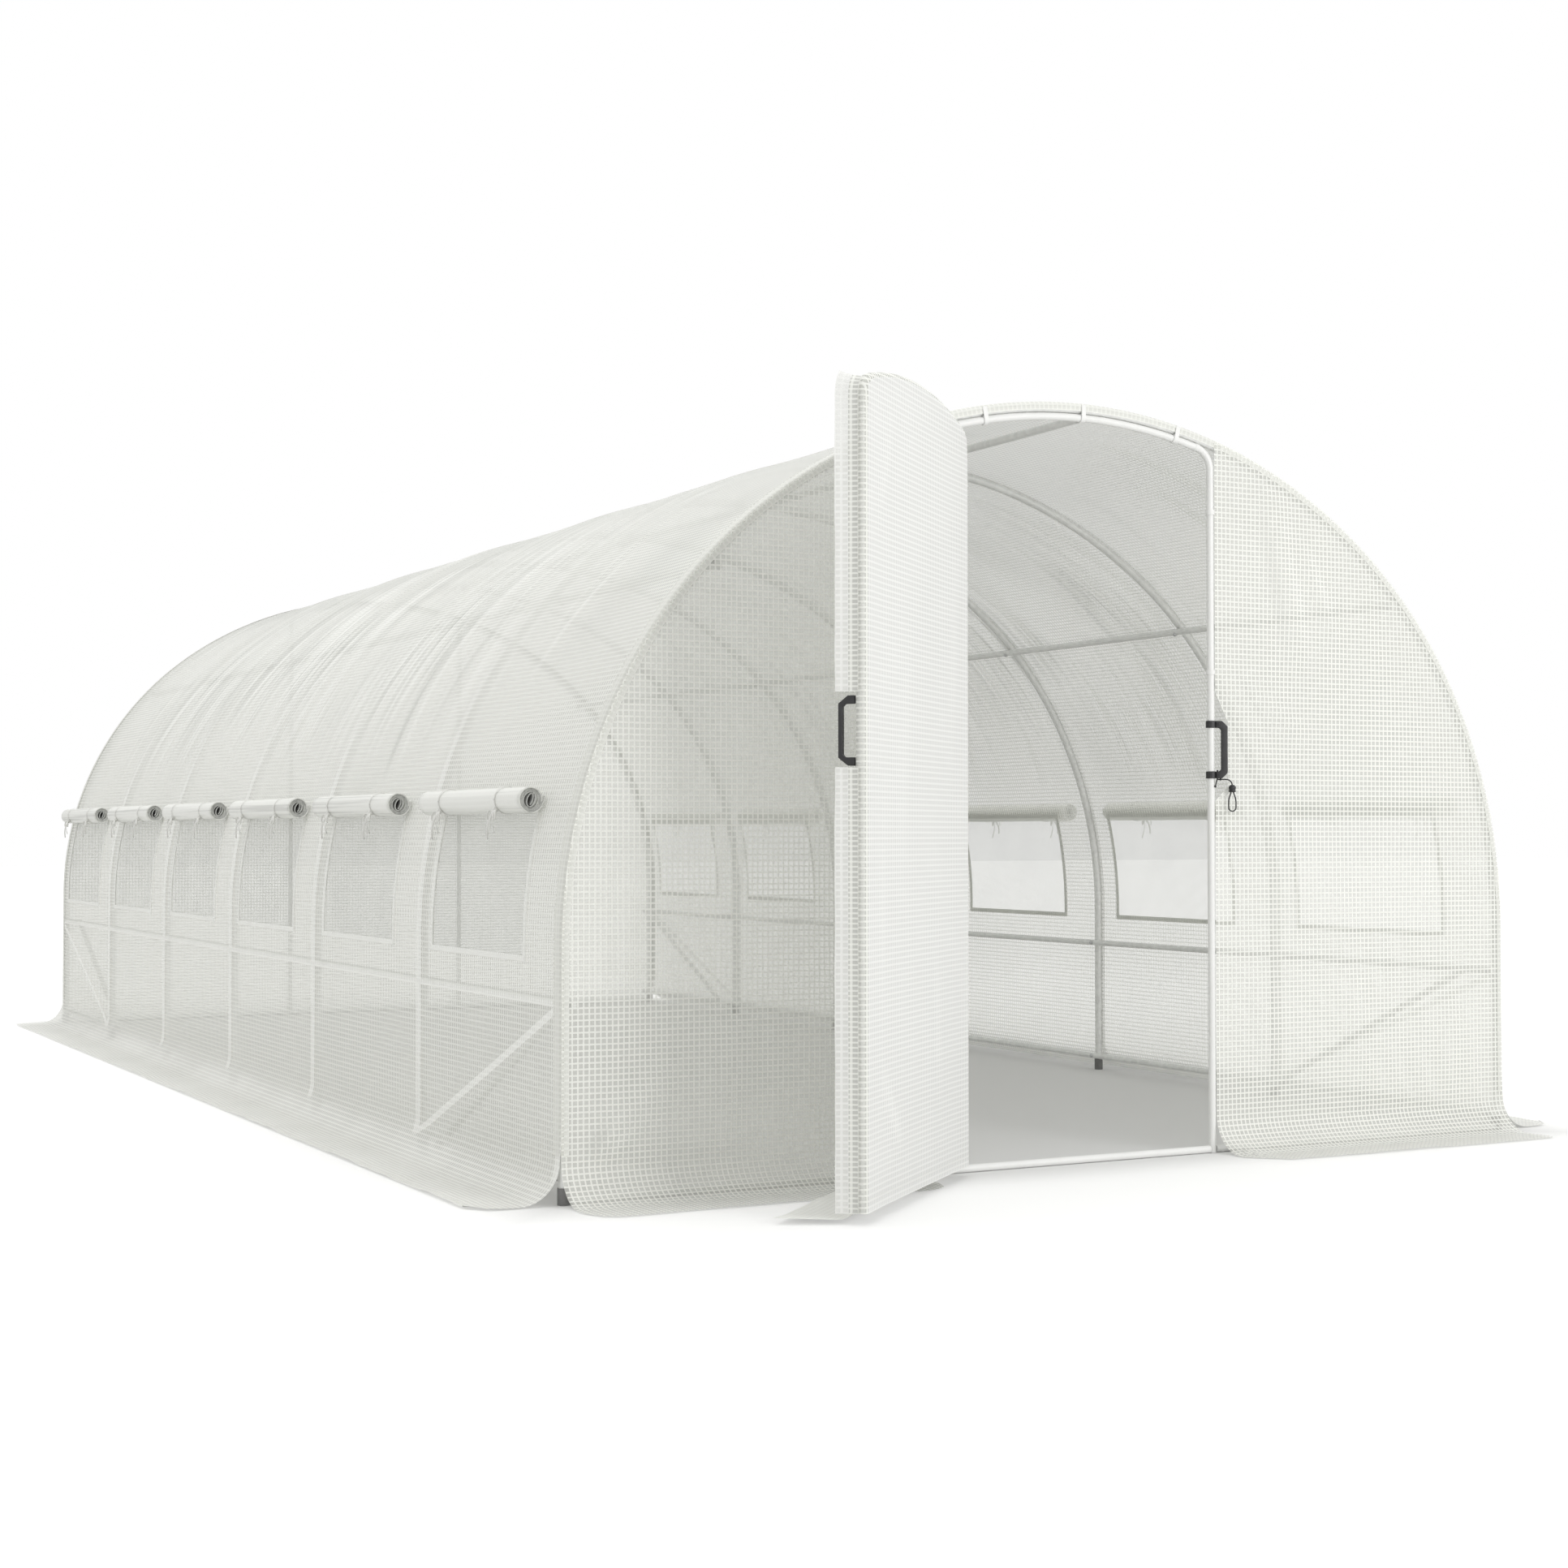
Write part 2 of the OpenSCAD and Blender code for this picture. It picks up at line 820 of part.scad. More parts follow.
// moving half of each hinge: knuckle, web and plate on the outer face
module door_hinges() {
    plate = 50;
    color("gray")
        door_pose()
            for (z = hinge_heights)
                translate([pin_x, pin_y, z + knuckle + gap])
                    difference() {
                        union() {
                            cylinder(r = knuckle_radius, h = knuckle);
                            translate([0, 0, 0])
                                cube([knuckle_radius, leaf_front - pin_y - gap, knuckle]);
                            translate([0, leaf_front - pin_y - gap - 3, 0])
                                cube([plate, 3, knuckle]);
                        }
                        translate([0, 0, -1])
                            cylinder(r = pin_radius + 0.05, h = knuckle + 2);
                    }
}

front_hoop();
hoop_2();
hoop_3();
hoop_4();
hoop_5();
hoop_6();
rear_hoop();
hoop_feet();
ridge_purlin();
left_shoulder_purlin();
right_shoulder_purlin();
left_waist_rail();
right_waist_rail();
left_base_rail();
right_base_rail();
front_base_rails();
door_sill();
rear_base_rail();
corner_braces();
door_surround();
surround_clips();
rear_posts();
left_wall_cover();
right_wall_cover();
roof_cover();
front_left_wall();
front_right_wall();
rear_wall();
left_window_screens();
right_window_screens();
left_window_rolls();
right_window_rolls();
left_roll_ties();
right_roll_ties();
jamb_hinges();
jamb_handle();
closing_cord();
cord_toggle();
door_frame();
door_cover();
door_edge_flap();
door_skirt();
door_handle();
door_hinges();
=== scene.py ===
"""Looks of a walk-in polytunnel greenhouse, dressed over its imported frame.

Metres, +Z up, the origin on the ground in the middle of the doorway, the tunnel running back along +Y.
"""
import math

import bmesh
import bpy
import numpy as np
from bpy.props import FloatProperty, FloatVectorProperty, IntProperty, PointerProperty
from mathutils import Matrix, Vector


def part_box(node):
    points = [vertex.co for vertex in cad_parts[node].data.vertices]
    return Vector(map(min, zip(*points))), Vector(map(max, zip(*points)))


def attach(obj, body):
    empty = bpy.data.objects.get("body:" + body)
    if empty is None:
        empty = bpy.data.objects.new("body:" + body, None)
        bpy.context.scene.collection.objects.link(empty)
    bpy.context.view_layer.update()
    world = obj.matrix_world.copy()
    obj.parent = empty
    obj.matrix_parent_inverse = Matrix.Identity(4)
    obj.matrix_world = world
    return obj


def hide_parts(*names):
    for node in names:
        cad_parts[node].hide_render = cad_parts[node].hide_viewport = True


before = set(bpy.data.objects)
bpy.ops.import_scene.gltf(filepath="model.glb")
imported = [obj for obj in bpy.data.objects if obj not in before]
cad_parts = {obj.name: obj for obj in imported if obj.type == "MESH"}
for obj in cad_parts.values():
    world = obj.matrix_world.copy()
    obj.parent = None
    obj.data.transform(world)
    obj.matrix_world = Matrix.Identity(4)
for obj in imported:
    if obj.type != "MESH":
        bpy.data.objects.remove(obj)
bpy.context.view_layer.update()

bl_info = {
    "name": "Polytunnel greenhouse",
    "version": (1, 0, 0),
    "blender": (4, 5, 0),
    "location": "View3D > Sidebar > Tunnel",
    "description": "Film, windows, door and fittings of a walk-in polytunnel over its tube frame",
    "category": "Object",
}

HOOPS = ["front_hoop", "hoop_2", "hoop_3", "hoop_4", "hoop_5", "hoop_6", "rear_hoop"]
SIDES = (("left", -1), ("right", 1))
COVER_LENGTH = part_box("rear_wall")[1].y - 0.215
SHEET = 0.003  # thickness of the film in the frame
FILM = SHEET / 2  # the dressed film lies in the middle of it
WAIST = 0.47  # height of the waist rails
WALL_INSET = 0.004  # the end walls stop short of the cover by this much
ROLL_GAP = 0.0029  # from the cover's outer face to a roll
STITCH_SPACING = 0.0115
JAMB = (0.43, 0.0135)  # middle of the right jamb tube, on plan
JAMB_TURN = math.radians(-30)  # of the handle clamped to it
STITCH_TREE, FITTING_TREE = "stitches along a line", "fittings at points"


def length_property(name, about, value):
    return FloatProperty(name=name, description=about, default=value, unit="LENGTH", precision=4)


def colour_property(name, about, value):
    return FloatVectorProperty(name=name, description=about, default=value, subtype="COLOR", size=3, min=0, max=1)


class TunnelSizes(bpy.types.PropertyGroup):
    """Sizes of the tunnel and its fittings"""

    half_width: length_property("Half width", "From the middle line to the film", 1.5)
    length: length_property("Length", "Along the film, end wall to end wall", COVER_LENGTH)
    leg_height: length_property("Leg height", "Straight part of a hoop", 0.6)
    shoulder_radius: length_property("Shoulder radius", "Arc above each leg", 1.38)
    crown_radius: length_property("Crown radius", "Arc over the middle", 1.58)
    crown_z: length_property("Crown centre", "Height of the crown arc's centre", 0.44)
    skirt_radius: length_property("Skirt flare", "Radius where the film turns out to the ground", 0.1)
    skirt_flat: length_property("Skirt flat", "Film lying on the ground", 0.115)
    hoop_inset: length_property("Hoop inset", "From an end of the tunnel to its first hoop", 0.016)
    bays: IntProperty(name="Bays", description="Spaces between hoops", default=6)
    sag: length_property("Sag", "How far the film dips between two hoops", 0.005)
    window_width: length_property("Window width", "Along the tunnel", 0.65)
    window_low: length_property("Window foot", "Height of its lower edge", 0.575)
    window_high: length_property("Window head", "Height of its upper edge", 0.935)
    window_shift: length_property("Window shift", "From the middle of a bay", 0.06)
    hem: length_property("Hem", "Width of the sewn hem strips", 0.016)
    roll_radius: length_property("Roll radius", "Of a rolled-up window flap", 0.034)
    roll_length: length_property("Roll length", "Of a rolled-up window flap", 0.735)
    roll_height: length_property("Roll height", "Middle of the rolls", 0.955)
    tie_spacing: length_property("Tie spacing", "Between the two ties of a roll", 0.41)
    tie_width: length_property("Tie width", "Width of the tape", 0.006)
    film_edge: length_property("Film edge", "From the middle of the doorway to the wall film", 0.436)
    leaf_half: length_property("Half leaf", "Half the width of the door leaf", 0.406)
    leaf_radius: length_property("Leaf arch", "Radius of the leaf's arched head", 1.5155)
    leaf_corner: length_property("Leaf corner", "Radius of the leaf's upper corners", 0.062)
    leaf_lift: length_property("Leaf lift", "Gap under the leaf", 0.026)
    flap_width: length_property("Flap width", "Upright flap on the leaf's free edge", 0.044)
    door_open: FloatProperty(
        name="Door angle", description="How far the door stands open", default=math.radians(139), subtype="ANGLE"
    )
    handle_middle: length_property("Handle height", "Middle of both handles", 1.103)
    handle_size: length_property("Handle size", "From end to end of a handle", 0.158)
    cord: length_property("Cord", "Diameter of the closing cord", 0.0036)
    weave: length_property("Weave", "Pitch of the threads in the film", 0.0144)


class TunnelColours(bpy.types.PropertyGroup):
    """Colours of the tunnel's finishes"""

    film: colour_property("Film", "Clear film between the threads", (0.800, 0.806, 0.762))
    thread: colour_property("Thread", "Woven tapes in the film", (0.890, 0.896, 0.852))
    clean_film: colour_property("Door film", "Film between the threads of the door", (0.812, 0.815, 0.800))
    clean_thread: colour_property("Door thread", "Woven tapes in the door's film", (0.905, 0.907, 0.893))
    shaded_film: colour_property("Shaded film", "Film at the root of the door flap", (0.545, 0.550, 0.522))
    hem: colour_property("Hem", "Doubled film along the edges", (0.940, 0.945, 0.910))
    roll: colour_property("Roll", "Rolled-up window film", (0.780, 0.785, 0.750))
    # painted shade: the darker colour of the inner turns at a roll's ends stands in for the shade between the turns
    painted_shade_roll_end: colour_property("Roll end", "Cut edges at the end of a roll", (0.520, 0.525, 0.505))
    mesh: colour_property("Mesh", "Threads of the window screens", (0.80, 0.81, 0.77))
    tie: colour_property("Tie", "Tape round the rolls", (0.880, 0.880, 0.850))
    galvanised: colour_property("Galvanised tube", "Hoops, rails and purlins", (0.800, 0.805, 0.790))
    white: colour_property("White tube", "Doorway surround, sill and clips", (0.820, 0.822, 0.808))
    steel: colour_property("Hinge steel", "Plated hinges and bolts", (0.58, 0.585, 0.59))
    black: colour_property("Black plastic", "Handles and toggle", (0.018, 0.018, 0.019))
    floor: colour_property("Floor", "Plain pale ground", (0.740, 0.740, 0.735))


class Shape:
    """Lines of the tunnel, worked out from its sizes."""

    def __init__(self, sizes):
        self.sizes = sizes
        self.split = math.acos(0.6)
        self.inset = sizes.half_width - sizes.shoulder_radius
        self.step = (sizes.length - 2 * sizes.hoop_inset) / sizes.bays
        self.flare_z = sizes.skirt_radius + SHEET
        self.flare = sizes.skirt_radius * math.pi / 2
        self.foot = sizes.skirt_flat + self.flare
        self.leg = self.foot + sizes.leg_height - self.flare_z
        self.shoulder = self.leg + sizes.shoulder_radius * self.split
        self.half_run = self.shoulder + sizes.crown_radius * (math.pi / 2 - self.split)
        self.low_run = self.run_at(sizes.window_low)
        self.high_run = self.run_at(sizes.window_high)
        self.pin = np.array([-0.413, -0.009])
        self.folds = self.fold_lines()

    def run_at(self, z):
        """Run along the cover, from the left skirt edge, to a height on the left wall."""
        rise = z - self.sizes.leg_height
        if rise <= 0:
            return self.leg + rise
        return self.leg + self.sizes.shoulder_radius * math.asin(rise / self.sizes.shoulder_radius)

    def from_edge(self, run):
        """Run from the nearer skirt edge."""
        return np.minimum(run, 2 * self.half_run - run)

    def on_side(self, run, side):
        """A run up the left side, or the same one up the right side."""
        return run if side < 0 else 2 * self.half_run - run

    def roll_axis(self):
        """How far up the shoulder arc the window rolls lie, as an angle, and their distance from its centre."""
        reach = self.sizes.shoulder_radius + self.sizes.roll_radius + ROLL_GAP
        return math.asin((self.sizes.roll_height - self.sizes.leg_height) / reach), reach

    def hoop_y(self, place):
        return self.sizes.hoop_inset + place * self.step

    def window_y(self, place):
        return self.hoop_y(place + 0.5) + self.sizes.window_shift

    def section(self, run):
        """Place (x, z) on the outer face at a run over the tunnel, and the outward direction there."""
        sizes = self.sizes
        run = np.asarray(run, float)
        t = self.from_edge(run)
        turn = (t - sizes.skirt_flat) / sizes.skirt_radius - math.pi / 2
        rise = (t - self.leg) / sizes.shoulder_radius
        top = self.split + (t - self.shoulder) / sizes.crown_radius
        parts = [t < sizes.skirt_flat, t < self.foot, t < self.leg, t < self.shoulder]
        out = sizes.half_width + sizes.skirt_radius
        x = np.select(parts, [
            t - out - sizes.skirt_flat, sizes.skirt_radius * np.cos(turn) - out, 0 * t - sizes.half_width,
            -self.inset - sizes.shoulder_radius * np.cos(rise)], -sizes.crown_radius * np.cos(top))
        z = np.select(parts, [
            0 * t + SHEET, self.flare_z + sizes.skirt_radius * np.sin(turn), self.flare_z + t - self.foot,
            sizes.leg_height + sizes.shoulder_radius * np.sin(rise)],
            sizes.crown_z + sizes.crown_radius * np.sin(top))
        nx = np.select(parts, [0 * t, -np.cos(turn), 0 * t - 1, -np.cos(rise)], -np.cos(top))
        nz = np.select(parts, [0 * t + 1, -np.sin(turn), 0 * t, np.sin(rise)], np.sin(top))
        side = np.where(run <= self.half_run, 1.0, -1.0)
        return x * side, z, nx * side, nz

    def fold_lines(self):
        """Long soft folds over the arch, most of them in the middle bays."""
        rng = np.random.default_rng(11)
        lines = []
        for place in range(self.sizes.bays):
            for _ in range(22 if 0 < place < self.sizes.bays - 1 else 12):
                y = self.hoop_y(place) + self.step * rng.uniform(0.02, 0.98)
                middle = rng.normal(1.72 if rng.random() < 0.7 else 2.6, 0.42)
                if rng.random() < 0.5:
                    middle = 2 * self.half_run - middle
                reach = rng.uniform(0.18, 0.62)
                lean = rng.uniform(-0.12, 0.12) * reach
                amp = rng.uniform(0.0012, 0.0036) * rng.choice([1, 1, -1])
                lines.append((y - lean, middle - reach, y + lean, middle + reach, rng.uniform(0.010, 0.030), amp))
        return lines

    def depth(self, y, run):
        """How far the film lies inside the outer face, and its fold height."""
        sizes = self.sizes
        t = self.from_edge(run)
        bay = np.mod((y - sizes.hoop_inset) / self.step, 1.0)
        arch = smooth(t, self.foot, self.leg + 0.5)
        sag = 4 * bay * (1 - bay) * sizes.sag * (0.25 * smooth(t, self.foot - 0.05, self.foot + 0.2) + 0.75 * arch)
        fold = ridges(y, run, self.folds) * smooth(t, self.high_run + 0.02, self.high_run + 0.25)
        fold = fold + 0.0014 * np.sin(5.1 * y + 1.7 * run) * np.sin(3.3 * run + 2.0 * y + 1) * arch
        near = np.minimum(y, sizes.length - y)
        bend = 0.0145  # the film curls round the end hoops
        bent = np.clip(0.016 - near, 0, bend - 0.001)
        curl = (bend - np.sqrt(bend ** 2 - bent ** 2)) * smooth(t, self.foot, self.foot + 0.08)
        fold = fold * smooth(near, 0.02, 0.10)
        loose = np.clip(1 - t / (self.foot - 0.05), 0, 1) ** 1.5
        lift = 0.0075 * loose * (0.5 + 0.5 * ripple(y, 0.4))
        return FILM + sag + curl - lift - fold, fold

    def on_cover(self, y, run, proud=0.0):
        """Points on the film, or a little outside it."""
        y, run = np.broadcast_arrays(np.asarray(y, float), np.asarray(run, float))
        x, z, nx, nz = self.section(run)
        depth, fold = self.depth(y, run)
        depth = depth - proud
        return spread(x - nx * depth, y, z - nz * depth), fold

    def arch_reach(self, z, inset):
        """Half width of the arch at a height, set in from the outer film."""
        sizes = self.sizes
        z = np.asarray(z, float)
        meet = sizes.leg_height + sizes.shoulder_radius * math.sin(self.split)
        side = self.inset + np.sqrt(np.maximum((sizes.shoulder_radius - inset) ** 2 - (z - sizes.leg_height) ** 2, 0))
        crown = np.sqrt(np.maximum((sizes.crown_radius - inset) ** 2 - (z - sizes.crown_z) ** 2, 0))
        return np.where(z < sizes.leg_height, sizes.half_width - inset, np.where(z < meet, side, crown))

    def leaf_top(self, x):
        """Height of the door leaf's head at a place across it."""
        sizes = self.sizes
        inner = sizes.leaf_half - sizes.leaf_corner
        turn_z = self.leaf_turn_z()
        angle = math.atan2(turn_z - sizes.crown_z, inner)
        a = np.abs(x)
        corner = turn_z + np.sqrt(np.maximum(sizes.leaf_corner ** 2 - (a - inner) ** 2, 0))
        crown = sizes.crown_z + np.sqrt(sizes.leaf_radius ** 2 - a ** 2)
        return np.where(a > sizes.leaf_radius * math.cos(angle), corner, crown)

    def leaf_turn_z(self):
        sizes = self.sizes
        return sizes.crown_z + math.sqrt(
            (sizes.leaf_radius - sizes.leaf_corner) ** 2 - (sizes.leaf_half - sizes.leaf_corner) ** 2)

    def open_door(self, points):
        """Turns points of the closed door to where it stands open."""
        return turned(np.asarray(points, float) - (*self.pin, 0), -self.sizes.door_open, self.pin)


def spread(*axes):
    """Points of a row or a grid from the values of each axis, which may be single numbers, rows or columns."""
    return np.stack(np.broadcast_arrays(*axes), -1)


def run_along(line):
    """How far along a line each of its points is."""
    return np.concatenate([[0], np.cumsum(np.linalg.norm(np.diff(line, axis=0), axis=1))])


def turned(points, angle, at, lift=0.0):
    """Points turned about the upright axis, then set at a place on plan and lifted."""
    points = np.asarray(points, float)
    c, s = math.cos(angle), math.sin(angle)
    x, y = points[..., 0], points[..., 1]
    return spread(at[0] + c * x - s * y, at[1] + s * x + c * y, lift + points[..., 2])


def smooth(value, low, high):
    t = np.clip((np.asarray(value, float) - low) / (high - low), 0, 1)
    return t * t * (3 - 2 * t)


def ripple(a, phase):
    """Uneven waves of loose film, between about minus one and one."""
    return 0.45 * np.sin(7.3 * a + phase) + 0.33 * np.sin(17.9 * a + 2.1 + phase) + 0.22 * np.sin(41 * a + 3 * phase)


def ridges(a, b, lines):
    """Height of soft ridges drawn along lines, each with a width and a height."""
    a, b = np.broadcast_arrays(np.asarray(a, float), np.asarray(b, float))
    total = np.zeros(a.shape)
    for a0, b0, a1, b1, width, high in lines:
        da, db = a1 - a0, b1 - b0
        t = np.clip(((a - a0) * da + (b - b0) * db) / (da * da + db * db), 0, 1)
        away = (a - a0 - t * da) ** 2 + (b - b0 - t * db) ** 2
        total += high * np.exp(-away / width ** 2) * np.sin(math.pi * np.clip(t, 0.02, 0.98)) ** 0.8
    return total


def between(*stops, step):
    """Places from the first stop to the last that take in each stop, no further apart than a step."""
    places = [np.linspace(a, b, max(2, math.ceil((b - a) / step) + 1)) for a, b in zip(stops, stops[1:])]
    return np.unique(np.round(np.concatenate(places), 7))


class Stock:
    """Points, faces, weave places and folds of one piece while it is put together."""

    def __init__(self):
        self.points, self.faces, self.weave, self.fold, self.kinds = [], [], [], [], []
        self.count = 0

    def add(self, points, faces, weave=None, fold=None, kind=0):
        points = np.asarray(points, float).reshape(-1, 3)
        size = len(points)
        self.points.append(points)
        self.weave.append(np.zeros((size, 2)) if weave is None else np.asarray(weave, float).reshape(-1, 2))
        self.fold.append(np.zeros(size) if fold is None else np.asarray(fold, float).reshape(-1))
        self.faces += [[int(i) + self.count for i in face] for face in faces]
        self.kinds += np.broadcast_to(kind, len(faces)).tolist()
        self.count += size

    def grid(self, points, weave=None, fold=None, keep=None, flip=False, kind=0):
        """A sheet from rows of points. keep says which cells stay."""
        rows, cols = points.shape[:2]
        index = np.arange(rows * cols).reshape(rows, cols)
        quads = spread(index[:-1, :-1], index[:-1, 1:], index[1:, 1:], index[1:, :-1]).reshape(-1, 4)
        kind = np.broadcast_to(kind, (rows - 1, cols - 1)).reshape(-1)
        if keep is not None:
            quads, kind = quads[np.asarray(keep).reshape(-1)], kind[np.asarray(keep).reshape(-1)]
        self.add(points, quads[:, ::-1] if flip else quads, weave, fold, kind)

    def make(self, name, looks, weld=0.0, body="tunnel", slot=None, replaces=()):
        points, weave, fold = np.concatenate(self.points), np.concatenate(self.weave), np.concatenate(self.fold)
        used = np.unique([i for face in self.faces for i in face])
        place = np.full(len(points), -1)
        place[used] = np.arange(len(used))
        mesh = bpy.data.meshes.new(name)
        mesh.from_pydata(points[used].tolist(), [], [[int(place[i]) for i in face] for face in self.faces])
        lay_weave(mesh, weave[used])
        # the fold attribute sets where the film looks paint highlights and shade
        mesh.attributes.new("fold", "FLOAT", "POINT").data.foreach_set("value", fold[used].astype(np.float32))
        mesh.polygons.foreach_set("material_index", np.array(self.kinds, dtype=np.int32))
        mesh.polygons.foreach_set("use_smooth", np.full(len(mesh.polygons), True))
        if weld:
            work = bmesh.new()
            work.from_mesh(mesh)
            bmesh.ops.remove_doubles(work, verts=work.verts, dist=weld)
            bmesh.ops.dissolve_degenerate(work, edges=work.edges, dist=weld)
            work.to_mesh(mesh)
            work.free()
        return place_piece(mesh, looks, body, replaces)


def lay_weave(mesh, weave):
    """Keeps each point's place in the weave, in metres, with a mesh."""
    corners = np.empty(len(mesh.loops), dtype=np.int32)
    mesh.loops.foreach_get("vertex_index", corners)
    mesh.uv_layers.new(name="weave").data.foreach_set("uv", weave[corners].astype(np.float32).ravel())


def place_piece(mesh, looks, body, replaces=()):
    """Puts a finished mesh in the scene as a piece that rides on a body."""
    for look in looks if isinstance(looks, (list, tuple)) else [looks]:
        mesh.materials.append(look)
    mesh.update()
    piece = bpy.data.objects.new(mesh.name, mesh)
    bpy.context.scene.collection.objects.link(piece)
    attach(piece, body)
    if replaces:
        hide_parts(*replaces)
    return piece


def stretched(piece, flat, slack):
    """Works out the cut area of a stretched sheet, at most its flat size, and keeps nothing of it. slack is how much
    its folds and creases add to its area.
    """
    cut = sum(face.area for face in piece.data.polygons) / slack
    min(cut, flat[0] * flat[1])


def unit(vectors):
    vectors = np.asarray(vectors, float)
    return vectors / np.maximum(np.linalg.norm(vectors, axis=-1, keepdims=True), 1e-12)


def tube_faces(rows, cols):
    """Faces of rings joined one to the next, closed at both ends."""
    faces = [[i * cols + j, i * cols + (j + 1) % cols, (i + 1) * cols + (j + 1) % cols, (i + 1) * cols + j]
             for i in range(rows - 1) for j in range(cols)]
    return faces + [list(range(cols))[::-1], [(rows - 1) * cols + j for j in range(cols)]]


def sweep(path, outline, side=None):
    """Points and faces of a closed outline drawn along a path. side is the outline's first direction."""
    path, outline = np.asarray(path, float), np.asarray(outline, float)
    along = unit(np.gradient(path, axis=0))
    if side is None:
        across = [unit(np.cross(along[0], [0.31, 0.87, 0.21]))]
        for t in along[1:]:
            across.append(unit(across[-1] - (across[-1] @ t) * t))
        across = np.array(across)
    else:
        across = np.broadcast_to(np.asarray(side, float), path.shape)
        across = unit(across - (across * along).sum(-1, keepdims=True) * along)
    up = np.cross(along, across)
    points = path[:, None] + outline[None, :, :1] * across[:, None] + outline[None, :, 1:] * up[:, None]
    return points.reshape(-1, 3), tube_faces(len(path), len(outline))


def lathe(profile, sides, facing=(0, 0, 1), at=(0, 0, 0)):
    """Points and faces of a turned piece whose profile is radius and height, closed at both ends."""
    turn = np.arange(sides) * 2 * math.pi / sides
    radius, height = np.asarray(profile, float).T
    points = spread(radius[:, None] * np.cos(turn), radius[:, None] * np.sin(turn), height[:, None]).reshape(-1, 3)
    spin = Vector((0, 0, 1)).rotation_difference(Vector(facing)).to_matrix()
    return points @ np.array(spin).T + np.asarray(at, float), tube_faces(len(radius), sides)


def round_outline(radius, sides=10):
    turn = np.arange(sides) * 2 * math.pi / sides
    return spread(np.cos(turn), np.sin(turn)) * radius


def tape_outline(width, thick):
    w, t, c = width / 2, thick / 2, min(width, thick) * 0.3
    return [(w - c, -t), (w, -t + c), (w, t - c), (w - c, t), (c - w, t), (-w, t - c), (-w, c - t), (c - w, -t)]


def math_node(operation):
    """A method of Value that adds one Math node."""
    return lambda *values: values[0].look.node("ShaderNodeMath", {"operation": operation}, dict(enumerate(values)))


class Value:
    """A shader value. Sums written with it add Math nodes to its material."""

    def __init__(self, look, socket):
        self.look, self.socket = look, socket

    __add__ = __radd__ = math_node("ADD")
    __mul__ = __rmul__ = math_node("MULTIPLY")
    __sub__, __truediv__, __abs__ = math_node("SUBTRACT"), math_node("DIVIDE"), math_node("ABSOLUTE")
    part, sine = math_node("FRACT"), math_node("SINE")
    at_least, at_most = math_node("MAXIMUM"), math_node("MINIMUM")

    def __rsub__(self, other):
        return self.look.node("ShaderNodeMath", {"operation": "SUBTRACT"}, {0: other, 1: self})

    def wave(self, pitch):
        """A sine wave of a pitch, between minus one and one."""
        return (self * (2 * math.pi / pitch)).sine()

    def ramp(self, low, high):
        """From 0 at low to 1 at high, with soft ends."""
        return self.look.node("ShaderNodeMapRange", {"interpolation_type": "SMOOTHSTEP", "clamp": True},
                              {"Value": self, "From Min": low, "From Max": high})


class Look:
    """A material and its node tree while it is put together."""

    def __init__(self, name, tree=None):
        if tree is None:
            self.material = bpy.data.materials.new(name)
            self.material.use_nodes = True
            tree = self.material.node_tree
        self.tree = tree
        self.tree.nodes.clear()

    def node(self, kind, settings=None, sockets=None, out=0):
        made = self.tree.nodes.new(kind)
        for name, value in (settings or {}).items():
            setattr(made, name, value)
        for name, value in (sockets or {}).items():
            if isinstance(value, Value):
                self.tree.links.new(value.socket, made.inputs[name])
            else:
                made.inputs[name].default_value = value
        return Value(self, made.outputs[out]) if len(made.outputs) else None

    def other(self, value, out):
        """Another output of the node that a value comes from."""
        return Value(self, value.socket.node.outputs[out])

    def mix(self, share, first, second):
        """A colour between two colours."""
        first, second = (c if isinstance(c, Value) else (*c[:3], 1.0) for c in (first, second))
        return self.node("ShaderNodeMix", {"data_type": "RGBA"}, {0: share, 6: first, 7: second}, out=2)

    def place(self):
        return self.node("ShaderNodeTexCoord", out="Object")

    def axes(self, vector):
        first = self.node("ShaderNodeSeparateXYZ", None, {"Vector": vector})
        return first, self.other(first, 1), self.other(first, 2)

    def weave(self):
        """Places across and along a sheet, in metres."""
        return self.axes(self.node("ShaderNodeUVMap", {"uv_map": "weave"}))[:2]

    def sheet_noise(self, across, along):
        """Noise over a sheet, drawn out by the scales of its two directions."""
        return self.noise(self.node("ShaderNodeCombineXYZ", None, {"X": across, "Y": along}), 1.0, 2.0)

    def noise(self, vector, scale, detail=3.0, rough=0.55):
        return self.node("ShaderNodeTexNoise", None,
                         {"Vector": vector, "Scale": scale, "Detail": detail, "Roughness": rough})

    def bump(self, height, strength, distance):
        return self.node("ShaderNodeBump", None, {"Height": height, "Strength": strength, "Distance": distance})

    def finish(self, through=None, **sockets):
        """Ends the material. through is the share of light let through a sheet, and its colour."""
        shader = self.node("ShaderNodeBsdfPrincipled", None,
                           {name.replace("_", " "): value for name, value in sockets.items()})
        if through:
            veil = self.node("ShaderNodeBsdfTranslucent", None, {"Color": (*through[1], 1.0)})
            shader = self.node("ShaderNodeMixShader", None, {0: through[0], 1: shader, 2: veil})
        self.node("ShaderNodeOutputMaterial", None, {"Surface": shader})
        return self.material


def shaded(tone, share):
    """A darker or paler shade of a tone."""
    return [min(1.0, c * share) for c in tone]


def threads_of(u, v, pitch, share, soft):
    """Masks of the threads along u, along v, and of both."""
    edge = 0.5 - share / 2
    first, second = (abs((way / pitch).part() - 0.5).ramp(edge - soft, edge + soft) for way in (u, v))
    return first, second, first.at_least(second)


